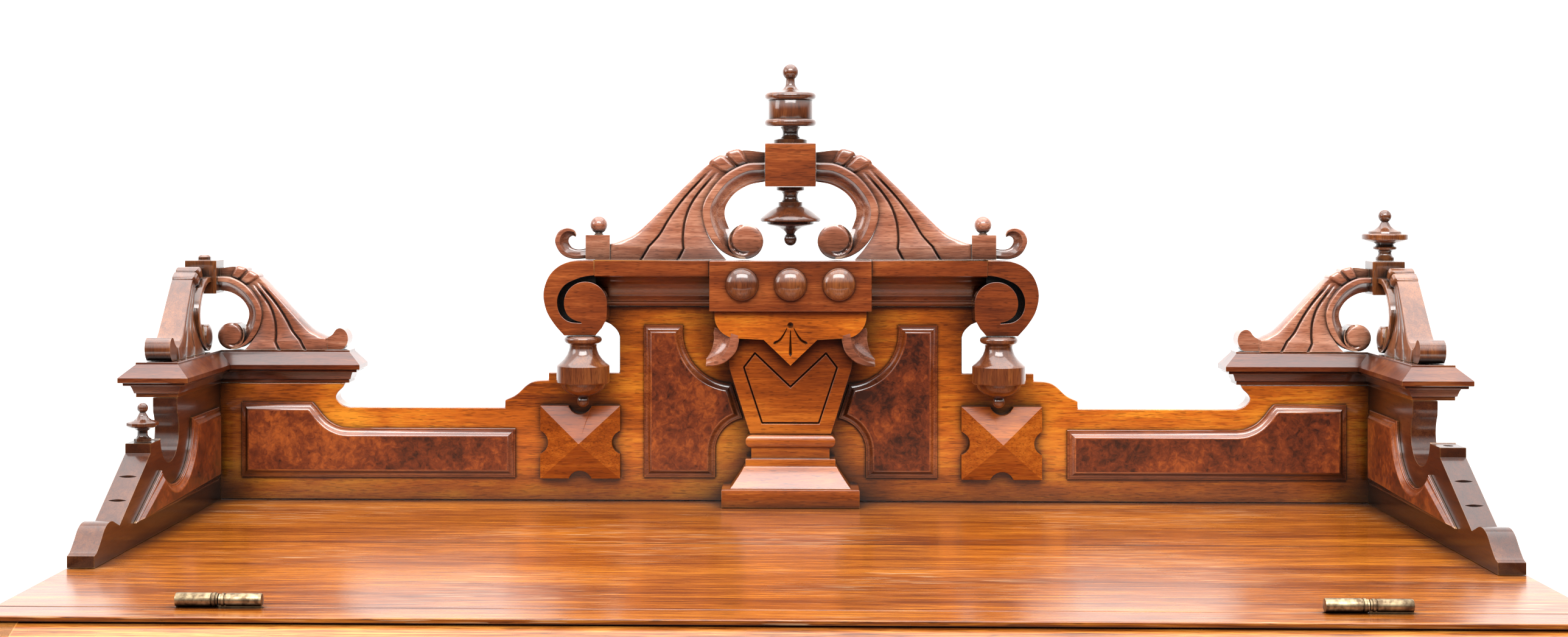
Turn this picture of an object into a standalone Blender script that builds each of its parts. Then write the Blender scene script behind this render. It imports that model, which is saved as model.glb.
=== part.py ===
"""Secretary desk with wing doors, a lifting hood and a carved gallery on its top.

Sizes are in millimetres and become metres when a mesh is finished. +X is right, +Y is back, +Z is up, and the
origin is on the floor under the middle of the desk. The wing doors stand open at a right angle.
"""
import math

import bmesh
import bpy
from mathutils import Vector

MM = 0.001

# Clearances
CLEAR = 0.3
RUN = 2.0

# Top board
TOP_HEIGHT = 1430.0
TOP_WIDTH = 1090.0
TOP_THICK = 22.0
TOP_DEPTH = 481.5
SEAM_GAP = 1.0

# Gallery boards, heights above the top board
PANEL = 21.0
GALLERY_INSET = 1.2
PANEL_HIGH = 107.0
RAIL_LOW = 84.8
SHELF_HIGH = 117.0
PANEL_CENTER = 177.7
SHELF_HALF = 221.0
CENTER_HALF = 156.0
STEP_HALF = 261.0
CORNER_RUN = 112.8
SIDE_REACH = 328.0
RAISE = 6.0
RIM_SHARE = 0.4
MOULDING = 7.5

# Centre of the gallery
CORNICE_HEIGHT = 42.7
CORNICE_OUT = 32.0
VOLUTE_OUT = 36.0
VOLUTE_WIDTH = 58.0
VOLUTE_HEIGHT = 67.7
VOLUTE_OUTER = 221.6
DROP_RADIUS = 24.0
TABLET_HALF = 72.6
TABLET_OUT = 38.0
TABLET_LIP = 2.7
BOSS_RADIUS = 14.7
BOSS_PITCH = 43.3
APRON_HALF = 68.0
APRON_THICK = 10.0
SHIELD_THICK = 22.0
SHIELD_FOOT = 64.0
SHIELD_HALF = 58.0
PLINTH_HALF = 61.7
PLINTH_OUT = 39.0
PYRAMID_WIDTH = 73.0
PYRAMID_HEIGHT = 66.3
PYRAMID_CENTER = 191.5
PYRAMID_APEX = 20.0

# Crest over the cornice
CREST_PLANE = 6.0
CREST_THICK = 24.0
CREST_REACH = 140.0
CREST_BLOCK = 45.6
CREST_BLOCK_HEIGHT = 39.0
CREST_BLOCK_RISE = 65.8
TERMINAL = 22.0

# Corner caps and brackets
CAP_WIDTH = 60.0
CAP_OVERHANG = 12.5
CAP_HEIGHT = 29.7
CAP_BACK_ARM = 130.8
CAP_SIDE_ARM = 140.0
BRACKET_THICK = 25.0
POST = 29.0
POST_HEIGHT = 30.5
POST_RISE = 51.4
FINIAL_RADIUS = 20.5
FINIAL_SIDES = 16

# Hood
HOOD_LIP = 31.3
LIP_THICK = 4.0
HOOD_REACH = 270.0
HOOD_DROP = 350.0
HOOD_WALL = 16.0
HOOD_SIDE = 18.0
HINGE_INSET = 155.0
BARREL_RADIUS = 4.8
BARREL_LENGTH = 29.5
HINGE_PIN = 2.4
LEAF_THICK = 1.6
LEAF_DROP = 15.0

# Case
TOP_OVERHANG = 10.0
CASE_BACK_INSET = 4.0
SIDE_WALL = 22.0
BACK_WALL = 12.0
BASE_HEIGHT = 110.0
FOOT_WIDTH = 120.0
ARCH_RISE = 45.0
BED_HEIGHT = 742.0
BED_THICK = 22.0
RACK_DEPTH = 240.0
RACK_WALL = 10.0
RACK_LOW_HEIGHT = 250.0
RACK_HEADROOM = 25.4
LOW_BAYS = 3
HIGH_BAYS = 6

# Fall front
FALL_LENGTH = 395.0
FALL_THICK = 20.0
FALL_LEAN = 4.0
FALL_SETBACK = 22.0
PIVOT_RADIUS = 5.0
PIVOT_LENGTH = 12.0

# Wing doors
DOOR_DEPTH = 270.0
DOOR_BOTTOM = 122.0
DOOR_HEADROOM = 6.0
DOOR_WALL = 16.0
DOOR_BAYS = 4
DOOR_GAP = 4.0
STILE = 70.0
PANEL_SINK = 6.0
ROD_OFFSET = 8.0
ROD_RADIUS = 3.2
LUG_RADIUS = 6.5
LUG_LENGTH = 60.0

# Drawers
DRAWERS = ("drawer_bottom", "drawer_middle", "drawer_top")
DRAWER_SETBACK = 34.0
DRAWER_FRONT = 20.0
DRAWER_WALL = 12.0
DRAWER_BACKROOM = 31.5
RUNNER_WIDTH = 14.0
RUNNER_HEIGHT = 12.0
KNOB_RADIUS = 17.0
KNOB_REACH = 26.0
KNOB_SPREAD = 300.0

# Places that follow from the sizes
SEAM_REACH = TOP_DEPTH - GALLERY_INSET - PANEL
OUTER = TOP_WIDTH / 2 - GALLERY_INSET
INNER = OUTER - PANEL
CORNICE_BASE = PANEL_CENTER + CLEAR
CORNICE_TOP = CORNICE_BASE + CORNICE_HEIGHT
CAP_BASE = PANEL_HIGH + CLEAR
CAP_TOP = CAP_BASE + CAP_HEIGHT
BRACKET_PLANE = INNER - CAP_OVERHANG + CAP_WIDTH / 2
CAP_BACK = PANEL + GALLERY_INSET
POST_OUT = BRACKET_THICK / 2 - PANEL
BACK_REACH = FINIAL_RADIUS * math.cos(math.pi / FINIAL_SIDES) - POST_OUT
CASE_HALF = TOP_WIDTH / 2 - TOP_OVERHANG
CASE_INNER = CASE_HALF - SIDE_WALL
CASE_DEPTH = TOP_DEPTH - CASE_BACK_INSET
DRAWER_DEPTH = CASE_DEPTH - BACK_WALL - DRAWER_SETBACK - DRAWER_BACKROOM
AXIS_RISE = BARREL_RADIUS + CLEAR
HINGE_X = TOP_WIDTH / 2 - HINGE_INSET
DOOR_TOP = TOP_HEIGHT - HOOD_DROP - DOOR_HEADROOM
ROD_X = CASE_HALF + ROD_OFFSET
ROD_FORWARD = DOOR_GAP / 2
DOOR_REACH = ROD_X - DOOR_GAP / 2 + ROD_FORWARD

# The middle of the desk from front to back is y = 0, with the doors open
FRONT_Y = (DOOR_REACH - SEAM_REACH - BACK_REACH) / 2
PANEL_Y = FRONT_Y + SEAM_REACH


def clear_scene():
    for obj in list(bpy.data.objects):
        bpy.data.objects.remove(obj, do_unlink=True)


def finish_material(name, colour, roughness, metallic=0.0):
    material = bpy.data.materials.new(name)
    material.use_nodes = True
    shader = material.node_tree.nodes["Principled BSDF"]
    shader.inputs["Base Color"].default_value = (*colour, 1.0)
    shader.inputs["Roughness"].default_value = roughness
    shader.inputs["Metallic"].default_value = metallic
    return material


def frame_empty(name, x, y, z):
    empty = bpy.data.objects.new(name, None)
    empty.location = (x * MM, y * MM, z * MM)
    bpy.context.collection.objects.link(empty)
    return empty


def front(x, z, out):
    """A point of a piece drawn from the front: out is the distance toward the viewer."""
    return Vector((x, -out, z))


def side(out, z, x):
    """A point of a piece drawn from the side."""
    return Vector((x, -out, z))


def plan(x, out, z):
    """A point of a piece drawn from above."""
    return Vector((x, -out, z))


def arc(cx, cy, radius, start, end, count):
    """Points along an arc, angles in degrees."""
    angles = [math.radians(start + (end - start) * i / count) for i in range(count + 1)]
    return [(cx + radius * math.cos(a), cy + radius * math.sin(a)) for a in angles]


def smooth(points, steps=2):
    """A Catmull-Rom curve through the points."""
    ends = [points[0]] + list(points) + [points[-1]]
    curve = []
    for a, b, c, d in zip(ends, ends[1:], ends[2:], ends[3:]):
        for i in range(steps):
            t = i / steps
            weights = (-t + 2 * t * t - t ** 3, 2 - 5 * t * t + 3 * t ** 3,
                       t + 4 * t * t - 3 * t ** 3, t ** 3 - t * t)
            curve.append(tuple(sum(w * p[k] / 2 for w, p in zip(weights, (a, b, c, d))) for k in (0, 1)))
    return curve + [tuple(points[-1])]


def loft(loops):
    """A closed solid through loops of points that match one to one."""
    bm = bmesh.new()
    rows = [[bm.verts.new(point) for point in loop] for loop in loops]
    count = len(rows[0])
    for low, high in zip(rows, rows[1:]):
        for i in range(count):
            j = (i + 1) % count
            bm.faces.new((low[i], low[j], high[j], high[i]))
    bm.faces.new(rows[0])
    bm.faces.new(rows[-1])
    bmesh.ops.recalc_face_normals(bm, faces=bm.faces)
    return bm


def prism(outline, start, end, view):
    """An outline drawn in a view and given thickness from start to end."""
    return loft([[view(p, q, t) for p, q in outline] for t in (start, end)])


def block(low, high):
    """A box between two corners."""
    (x0, y0, z0), (x1, y1, z1) = low, high
    base = [(x0, y0), (x1, y0), (x1, y1), (x0, y1)]
    return loft([[Vector((x, y, z)) for x, y in base] for z in (z0, z1)])


def turned(profile, sides, place):
    """A turned piece: profile holds (radius, distance along the axis), place puts (p, q, along) in space."""
    angles = [2 * math.pi * (i + 0.5) / sides for i in range(sides)]
    return loft([[place(r * math.cos(a), r * math.sin(a), h) for a in angles] for r, h in profile])


def upright(x, out, base):
    """Places a turned piece on an upright axis."""
    return lambda p, q, along: Vector((x + p, -out + q, base + along))


def bead(radius, center, count=4, start=-80, end=80):
    """The profile of a ball or a round moulding on a turned piece."""
    return [(r, center + h) for r, h in arc(0, 0, radius, start, end, count)]


def facing(bm, direction):
    """The face that lies furthest along a direction and looks that way."""
    bm.normal_update()
    direction = Vector(direction)
    looking = [f for f in bm.faces if f.normal.dot(direction) > 0.99]
    return max(looking, key=lambda f: f.calc_center_median().dot(direction))


def fielded(outline, start, end, view, direction):
    """A raised panel: a sloped moulding climbs from a low rim to its face."""
    rim = start + (end - start) * RIM_SHARE
    bm = prism(outline, start, rim, view)
    face = facing(bm, direction)
    bmesh.ops.inset_region(bm, faces=[face], thickness=MOULDING, depth=abs(end - rim), use_even_offset=True)
    return bm


def framed(bm, direction):
    """Lets a panel into the face of a board, inside its stiles and rails."""
    face = facing(bm, direction)
    bmesh.ops.inset_region(bm, faces=[face], thickness=STILE)
    bmesh.ops.inset_region(bm, faces=[face], thickness=PANEL_SINK, depth=-PANEL_SINK)
    return bm


def mesh_object(name, bm):
    bmesh.ops.scale(bm, vec=(MM, MM, MM), verts=bm.verts)
    mesh = bpy.data.meshes.new(name)
    bm.to_mesh(mesh)
    bm.free()
    obj = bpy.data.objects.new(name, mesh)
    bpy.context.collection.objects.link(obj)
    return obj


def boolean(obj, tool, operation):
    """Joins a tool's mesh to an object, or cuts it out, and drops the tool."""
    modifier = obj.modifiers.new(operation, "BOOLEAN")
    modifier.operation = operation
    modifier.object = tool
    modifier.solver = "EXACT"
    graph = bpy.context.evaluated_depsgraph_get()
    mesh = bpy.data.meshes.new_from_object(obj.evaluated_get(graph))
    obj.modifiers.clear()
    obj.data = mesh
    bpy.data.objects.remove(tool, do_unlink=True)


def piece(name, bm, material, frame, joined=(), cut=()):
    """One named sub-part in a frame, with other shapes joined to it and cut out of it."""
    obj = mesh_object(name, bm)
    for shape in joined:
        boolean(obj, mesh_object("tool", shape), "UNION")
    for shape in cut:
        boolean(obj, mesh_object("tool", shape), "DIFFERENCE")
    obj.parent = frame
    obj.data.name = name
    obj.data.materials.clear()
    obj.data.materials.append(material)
    obj.data.shade_smooth()
    obj.data.set_sharp_from_angle(angle=math.radians(35))
    return obj


def sides():
    """Both halves of the desk: the name's ending and the sign of X."""
    return (("left", -1), ("right", 1))


def back_panel(frame, wood):
    """The back board of the gallery: high at its ends and centre, low between."""
    cove = [(INNER - CORNER_RUN - 2, PANEL_HIGH), (INNER - CORNER_RUN, PANEL_HIGH - 4),
            (INNER - CORNER_RUN + 5, PANEL_HIGH - 9), (INNER - CORNER_RUN + 6, PANEL_HIGH - 14),
            (INNER - CORNER_RUN, RAIL_LOW + 3), (INNER - CORNER_RUN - 6, RAIL_LOW)]
    ogee = smooth([(STEP_HALF, RAIL_LOW + 7), (STEP_HALF - 10, RAIL_LOW + 12),
                   (STEP_HALF - 20, RAIL_LOW + 21), (STEP_HALF - 28, SHELF_HIGH - 8),
                   (SHELF_HALF, SHELF_HIGH - 7)])
    behind_volute = VOLUTE_OUTER - VOLUTE_WIDTH / 2
    half = [(OUTER, 0), (OUTER, PANEL_HIGH)] + cove + [(STEP_HALF, RAIL_LOW)] + ogee
    half += [(SHELF_HALF, SHELF_HIGH), (CENTER_HALF, SHELF_HIGH), (CENTER_HALF, PANEL_CENTER - 28)]
    half += [(CENTER_HALF + 5, PANEL_CENTER - 21), (CENTER_HALF + 13, PANEL_CENTER - 15)]
    half += [(behind_volute, PANEL_CENTER - 10), (behind_volute, PANEL_CENTER)]
    outline = half + [(-x, z) for x, z in reversed(half)]
    piece("back_panel", prism([(x, max(z, CLEAR)) for x, z in outline], -PANEL, 0, front), wood, frame)


def side_panel(frame, wood, name, sign):
    """A side board that steps down to a toe at the front of the top."""
    toe = SIDE_REACH
    slope = smooth([(toe, 9.4), (toe - 12, 15), (toe - 24, 26), (toe - 39, 29), (toe - 56, 23)])
    bite = arc(CAP_SIDE_ARM + 8, PANEL_HIGH - 27, 25, 0, -215, 9)
    outline = [(CLEAR, CLEAR), (toe, CLEAR)] + slope + [(toe - 130, 69), (toe - 130, 77), (toe - 154, 77)]
    outline += bite + [(CAP_SIDE_ARM - 12, PANEL_HIGH - 6), (CAP_SIDE_ARM - 12, PANEL_HIGH)]
    outline += [(CLEAR, PANEL_HIGH)]
    bm = prism(outline, sign * INNER, sign * OUTER, side)
    hole = []
    if sign > 0:
        place = upright(INNER + PANEL / 2, toe - 142, 77 - 14)
        hole.append(turned([(4, 0), (4, 20)], 12, place))
    piece("side_panel_" + name, bm, wood, frame, cut=hole)


def burl_panels(frame, burl, name, sign):
    """The three raised burl panels on one half of the gallery."""
    low = [(INNER - 20, 21), (STEP_HALF - 10, 21), (STEP_HALF - 10, 66), (INNER - 119, 66)]
    low += smooth([(INNER - 108, 68), (INNER - 97, 75), (INNER - 89, 85), (INNER - 85, 89.7)])
    low += [(INNER - 20, 89.7)]
    low = [(sign * x, z) for x, z in low]
    piece("low_burl_" + name, fielded(low, CLEAR, RAISE, front, (0, -1, 0)), burl, frame)

    center = [(CENTER_HALF - 22.4, 21.6), (68.4, 21.6)] + arc(38, 46, 30.4, 4, 80, 4)
    center += arc(SHIELD_HALF - 8, 155, 48, -86, 7, 6) + [(CENTER_HALF - 22.4, 160.8)]
    center = [(sign * x, z) for x, z in center]
    piece("center_burl_" + name, fielded(center, CLEAR, RAISE, front, (0, -1, 0)), burl, frame)

    flank = [(12, 19), (12, 86)] + arc(CAP_SIDE_ARM, 84, 48, 177.6, 318, 8) + [(SIDE_REACH - 88, 19)]
    bm = fielded(flank, sign * (INNER - CLEAR), sign * (INNER - RAISE), side, (-sign, 0, 0))
    piece("side_burl_" + name, bm, burl, frame)


def pyramid(frame, wood, name, sign):
    """A block with a round notch in each edge and a low pyramid on its face."""
    half_w = PYRAMID_WIDTH / 2
    half_h = PYRAMID_HEIGHT / 2
    middle = sign * PYRAMID_CENTER
    mid = 21 + half_h
    outline = [(middle + p * half_w, mid + q * half_h) for p, q in ((-1, -1), (1, -1), (1, 1), (-1, 1))]
    bm = prism(outline, CLEAR, RAISE, front)
    poked = bmesh.ops.poke(bm, faces=[facing(bm, (0, -1, 0))])
    poked["verts"][0].co = front(middle, mid, PYRAMID_APEX)
    radius = PYRAMID_HEIGHT / 6
    beyond = radius * 0.32
    notches = []
    for p, q in ((half_w + beyond, 0), (-half_w - beyond, 0), (0, half_h + beyond), (0, -half_h - beyond)):
        notches.append(turned([(radius, -RAISE), (radius, PYRAMID_APEX + RAISE)], 20,
                              lambda a, b, h, p=p, q=q: front(middle + p + a, mid + q + b, h)))
    piece("pyramid_" + name, bm, wood, frame, cut=notches)


def cornice(frame, wood, name, sign):
    """Half of the cornice: a moulded rail that ends in a volute."""
    z0 = CORNICE_BASE
    z1 = CORNICE_TOP
    cove = [(p, z0 + 30 - q) for p, q in arc(CORNICE_OUT - 4, 22, 20, 180, 270, 4)]
    rail = [(-PANEL, z0), (7, z0), (9, z0 + 4), (7, z0 + 8)] + [(p, z) for p, z in cove]
    rail += [(CORNICE_OUT, z1 - 13), (CORNICE_OUT, z1), (-PANEL, z1)]
    middle = VOLUTE_OUTER - VOLUTE_WIDTH / 2
    bm = prism(rail, sign * (TABLET_HALF + CLEAR), sign * middle, side)
    radius = VOLUTE_WIDTH / 2
    lower = VOLUTE_HEIGHT - radius
    shoulder = arc(middle, z1 - radius, radius, 90, 0, 5)
    belly = [(middle + radius * math.cos(a), z1 - radius - lower * math.sin(a))
             for a in (math.pi * i / 10 for i in range(1, 11))]
    scroll = [(middle - radius, z1)] + shoulder + belly
    volute = prism([(sign * x, z) for x, z in scroll], CLEAR, VOLUTE_OUT, front)
    piece("cornice_" + name, bm, wood, frame, joined=[volute])


def volute_drop(frame, wood, name, sign):
    """A turned pendant under a volute, clear of the back board."""
    hang = CORNICE_TOP - VOLUTE_HEIGHT - CLEAR
    drum = DROP_RADIUS
    profile = [(17, 0), (17, -7), (12.5, -9), (12.5, -11), (15, -17), (drum - 3, -24), (drum, -27)]
    profile += [(drum, -42), (20, -43), (18, -48), (10, -53), (5.5, -55), (4, -56), (5.5, -59), (4, -62)]
    profile.append((1.5, -63))
    x = sign * (VOLUTE_OUTER - VOLUTE_WIDTH * 0.6)
    place = upright(x, DROP_RADIUS + CLEAR, hang)
    piece("volute_drop_" + name, turned(profile, 16, place), wood, frame)


def tablet(frame, wood):
    """The centre block of the cornice with its three bosses."""
    low = CORNICE_BASE - TABLET_LIP
    outline = [(-PANEL, CORNICE_BASE), (CLEAR, CORNICE_BASE), (CLEAR, low), (TABLET_OUT, low)]
    outline += [(TABLET_OUT, CORNICE_TOP), (-PANEL, CORNICE_TOP)]
    bm = prism(outline, -TABLET_HALF, TABLET_HALF, side)
    dome = [(BOSS_RADIUS, -2), (BOSS_RADIUS, 2)]
    dome += [(BOSS_RADIUS * math.cos(a), 2 + 7 * math.sin(a)) for a in (0.4, 0.8, 1.2)] + [(1, 9)]
    middle = (low + CORNICE_TOP) / 2 + 1.5
    bosses = []
    for x in (-BOSS_PITCH, 0, BOSS_PITCH):
        bosses.append(turned(dome, 16, lambda p, q, h, x=x: front(x + p, middle + q, TABLET_OUT + h)))
    piece("tablet", bm, wood, frame, joined=bosses)


def apron_and_shield(frame, wood):
    """The cut apron under the tablet, its ears, and the shield on its moulded foot."""
    top = CORNICE_BASE - TABLET_LIP - CLEAR
    face = SHIELD_THICK + CLEAR
    half = [(APRON_HALF, top), (APRON_HALF, top - 4)] + arc(APRON_HALF - 20, top - 4, 20, -10, -90, 4)
    half += [(APRON_HALF - 23.5, top - 25), (24, top - 25), (0, top - 48)]
    outline = half + [(-x, z) for x, z in reversed(half[:-1])]
    piece("apron", prism(outline, face, face + APRON_THICK, front), wood, frame)
    for name, sign in sides():
        ear = [(APRON_HALF - 22, top - 26), (APRON_HALF - 17, top - 24.8), (APRON_HALF - 8, top - 21)]
        ear += [(APRON_HALF - 3, top - 17), (APRON_HALF - 2, top - 28), (APRON_HALF + 5, top - 40)]
        ear += [(APRON_HALF + 5, top - 46), (APRON_HALF - 1, top - 48.5), (APRON_HALF - 12, top - 42)]
        bm = prism([(sign * x, z) for x, z in ear], face, face + APRON_THICK - 2, front)
        piece("apron_ear_" + name, bm, wood, frame)

    half = [(SHIELD_HALF - 21.6, SHIELD_FOOT), (SHIELD_HALF - 3, SHIELD_FOOT + 59), (SHIELD_HALF, top - 24),
            (SHIELD_HALF, top - 14)]
    outline = half + [(-x, z) for x, z in reversed(half)]
    piece("shield", prism(outline, CLEAR, SHIELD_THICK, front), wood, frame)

    neck = SHIELD_HALF - 22.8
    steps = [(CLEAR, PLINTH_HALF), (16.3, PLINTH_HALF), (16.4, PLINTH_HALF - 8), (22, PLINTH_HALF - 12),
             (29, PLINTH_HALF - 18), (35, PLINTH_HALF - 20), (36, neck + 5), (SHIELD_FOOT - 22, neck + 5)]
    steps += [(SHIELD_FOOT - 21.4, neck), (SHIELD_FOOT - 12, neck), (SHIELD_FOOT - 10, neck + 4)]
    steps += [(SHIELD_FOOT - 6, neck + 5), (SHIELD_FOOT - 2, neck + 4), (SHIELD_FOOT - CLEAR, neck + 2)]
    loops = []
    for z, half_width in steps:
        out = PLINTH_OUT - 0.6 * (PLINTH_HALF - half_width)
        ring = [(-half_width, CLEAR), (half_width, CLEAR), (half_width, out), (-half_width, out)]
        loops.append([plan(x, o, z) for x, o in ring])
    piece("shield_base", loft(loops), wood, frame)


def crest(frame, wood):
    """The carved crest: two scroll boards, end blocks, and the centre block with its turned pieces."""
    base = CORNICE_TOP + CLEAR
    back = CREST_PLANE - CREST_THICK / 2
    face = CREST_PLANE + CREST_THICK / 2
    start = CREST_BLOCK / 2 + CLEAR
    rise = smooth([(0, 98), (24, 99.7), (49, 88.7), (72, 66.7), (94, 44.7), (115, 24.7), (CREST_REACH, 15)])
    eye = arc(19, 14.2, 13.8, -90, -290, 9)
    inner = smooth([(31.5, 31), (36.5, 46.7), (29, 60), (0, 70)])
    outline = rise + [(CREST_REACH, 0), (40, 0)] + eye + inner
    curl = smooth([(-2, 0.3), (14, 0.3), (24, 6), (28, 16), (24, 25), (16, 28), (10, 25), (12, 19), (16, 16),
                   (14, 10), (8, 8), (-2, 10)])
    for name, sign in sides():
        bm = prism([(sign * (start + x), base + z) for x, z in outline], back, face, front)
        piece("crest_scroll_" + name, bm, wood, frame)
        x0 = start + CREST_REACH + CLEAR
        x1 = x0 + TERMINAL
        out0 = CREST_PLANE - TERMINAL / 2
        cube = block((sign * x0 if sign > 0 else -x1, -out0 - TERMINAL, base),
                     (x1 if sign > 0 else -x0, -out0, base + TERMINAL))
        ball = turned([(4, -3), (4, 1.2)] + bead(7.9, 8.5), 12,
                      upright(sign * (x0 + x1) / 2, CREST_PLANE, base + TERMINAL))
        tail = prism([(sign * (x1 + p), base + q) for p, q in curl], out0 + 4, out0 + TERMINAL - 4, front)
        piece("crest_terminal_" + name, cube, wood, frame, joined=[ball, tail])

    half = CREST_BLOCK / 2
    low = base + CREST_BLOCK_RISE
    bm = block((-half, -CREST_PLANE - half, low), (half, -CREST_PLANE + half, low + CREST_BLOCK_HEIGHT))
    piece("crest_block", bm, wood, frame)
    up = upright(0, CREST_PLANE, low + CREST_BLOCK_HEIGHT + CLEAR)
    profile = [(15.4, 0), (15.4, 3.5), (8, 5), (7.1, 9), (9.4, 15), (21, 15.1), (23.7, 18.8), (21, 22.4)]
    profile += [(20.3, 22.5), (20.3, 39), (21, 39.1), (23.6, 42.6), (21, 46.2), (10, 46.7)]
    profile += [(4.1, 53.5), (4.1, 58.7)] + bead(7.3, 64.7)
    piece("crest_finial", turned(profile, 16, up), wood, frame)
    down = upright(0, CREST_PLANE, low - CLEAR)
    profile = [(12.9, 0), (12.9, -3.3), (7, -5), (6.6, -9), (8, -13), (11.2, -14), (11.2, -17), (14, -19)]
    profile += [(27.7, -28.5), (27.7, -31), (21.5, -31.2), (20, -34), (10, -38), (4, -41.5)]
    profile += bead(6, -47.5, 4, 70, -80)
    piece("crest_drop", turned(profile, 16, down), wood, frame)


def corner(frame, wood, name, sign):
    """A moulded L-shaped cap, flat at the back, with its post, two scroll brackets and finial."""
    near = INNER - CAP_OVERHANG
    far = near + CAP_WIDTH
    arm = INNER - CAP_BACK_ARM
    loops = []
    for z, inset in ((0, 12), (5, 11), (10, 4), (13, 0), (17.2, 0), (CAP_HEIGHT, 12)):
        ring = [(arm + inset, CAP_OVERHANG - inset), (arm + inset, -CAP_BACK),
                (far - inset, -CAP_BACK), (far - inset, CAP_SIDE_ARM - inset),
                (near + inset, CAP_SIDE_ARM - inset), (near + inset, CAP_OVERHANG - inset)]
        loops.append([plan(sign * x, out, CAP_BASE + z) for x, out in ring])
    piece("corner_cap_" + name, loft(loops), wood, frame)

    base = CAP_TOP + CLEAR
    post_x = BRACKET_PLANE
    post_out = POST_OUT
    half = POST / 2
    half_thick = BRACKET_THICK / 2
    low = base + POST_RISE
    xs = sorted((sign * (post_x - half), sign * (post_x + half)))
    bm = block((xs[0], -post_out - half_thick, low), (xs[1], -post_out + half_thick, low + POST_HEIGHT))
    stub = []
    if sign < 0:
        place = upright(sign * post_x, post_out, low + POST_HEIGHT)
        stub.append(turned([(6, -2), (6, 3), (4, 4.5)], 12, place))
    piece("corner_post_" + name, bm, wood, frame, joined=stub)

    rise = smooth([(0, 75.3), (22, 74.6), (41, 66.8), (52.5, 51.2), (66.5, 34.7), (84.5, 17.7), (98.5, 10.7),
                   (107, 15), (113.5, 19.7), (120, 11.7), (114.5, 2)])
    eye = arc(15, 11.8, 11.5, -90, -290, 8)
    inner = smooth([(27.5, 24), (31, 35), (20.5, 48), (0, 51.5)])
    outline = rise + [(108, 0), (30, 0)] + eye + inner
    back = [(sign * (post_x - half - CLEAR - p), base + q) for p, q in outline]
    bm = prism(back, -PANEL, 0.0, front)
    piece("corner_scroll_back_" + name, bm, wood, frame)
    ahead = [(post_out + half_thick + CLEAR + p, base + q) for p, q in outline]
    bm = prism(ahead, sign * (post_x - half_thick), sign * (post_x + half_thick), side)
    piece("corner_scroll_side_" + name, bm, wood, frame)

    if sign > 0:
        profile = [(8.2, 0), (8.2, 3.5), (5.8, 6), (5.8, 9), (10.5, 11), (10.5, 13), (7, 15), (18, 18)]
        profile += [(FINIAL_RADIUS, 20), (FINIAL_RADIUS, 24), (14, 27), (5, 32), (3.5, 35)] + bead(6, 40.5)
        place = upright(sign * post_x, post_out, low + POST_HEIGHT + CLEAR)
        piece("corner_finial_right", turned(profile, FINIAL_SIDES, place), wood, frame)
    else:
        profile = [(7, 0), (7, 3), (4, 5), (4, 9), (11, 12), (12.9, 13.5), (12.9, 16), (8, 19), (3, 22)]
        profile += bead(4.3, 27.5)
        place = upright(-(INNER + PANEL / 2), SIDE_REACH - 142, 77 + CLEAR)
        piece("side_finial_left", turned(profile, 8, place), wood, frame)


def gallery(frame, walnut, carved, burl):
    back_panel(frame, walnut)
    tablet(frame, walnut)
    apron_and_shield(frame, walnut)
    crest(frame, carved)
    for name, sign in sides():
        side_panel(frame, walnut, name, sign)
        burl_panels(frame, burl, name, sign)
        pyramid(frame, walnut, name, sign)
        cornice(frame, walnut, name, sign)
        volute_drop(frame, carved, name, sign)
        corner(frame, carved, name, sign)


def bezier(a, b, c, d, count):
    """Points along a cubic curve."""
    points = []
    for i in range(count + 1):
        t = i / count
        weights = ((1 - t) ** 3, 3 * t * (1 - t) ** 2, 3 * t * t * (1 - t), t ** 3)
        points.append(tuple(sum(w * p[k] for w, p in zip(weights, (a, b, c, d))) for k in (0, 1)))
    return points


def inward(curve, wall):
    """A curve moved to the inside of a wall."""
    moved = []
    for i, (p, q) in enumerate(curve):
        before = curve[max(i - 1, 0)]
        after = curve[min(i + 1, len(curve) - 1)]
        along = Vector((after[0] - before[0], after[1] - before[1])).normalized()
        moved.append((p + wall * along.y, q - wall * along.x))
    return moved


def leaf_pockets(forward, rise):
    """Shallow pockets for the hinge leaves in the edge on one side of the seam."""
    pockets = []
    depth = LEAF_THICK + 2 * CLEAR
    for center in (-HINGE_X, HINGE_X):
        x0 = center + (CLEAR if forward else -BARREL_LENGTH - 2 * CLEAR)
        y0 = -depth if forward else -SEAM_GAP
        y1 = SEAM_GAP if forward else depth
        low = (x0 - CLEAR, y0, rise - LEAF_DROP - CLEAR)
        pockets.append(block(low, (x0 + BARREL_LENGTH + 2 * CLEAR, y1, rise + TOP_THICK)))
    return pockets


def top_board(frame, wood):
    half = TOP_WIDTH / 2
    bm = block((-half, SEAM_GAP / 2, TOP_HEIGHT - TOP_THICK), (half, TOP_DEPTH, TOP_HEIGHT))
    piece("top_board", bm, wood, frame, cut=leaf_pockets(False, TOP_HEIGHT))


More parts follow.
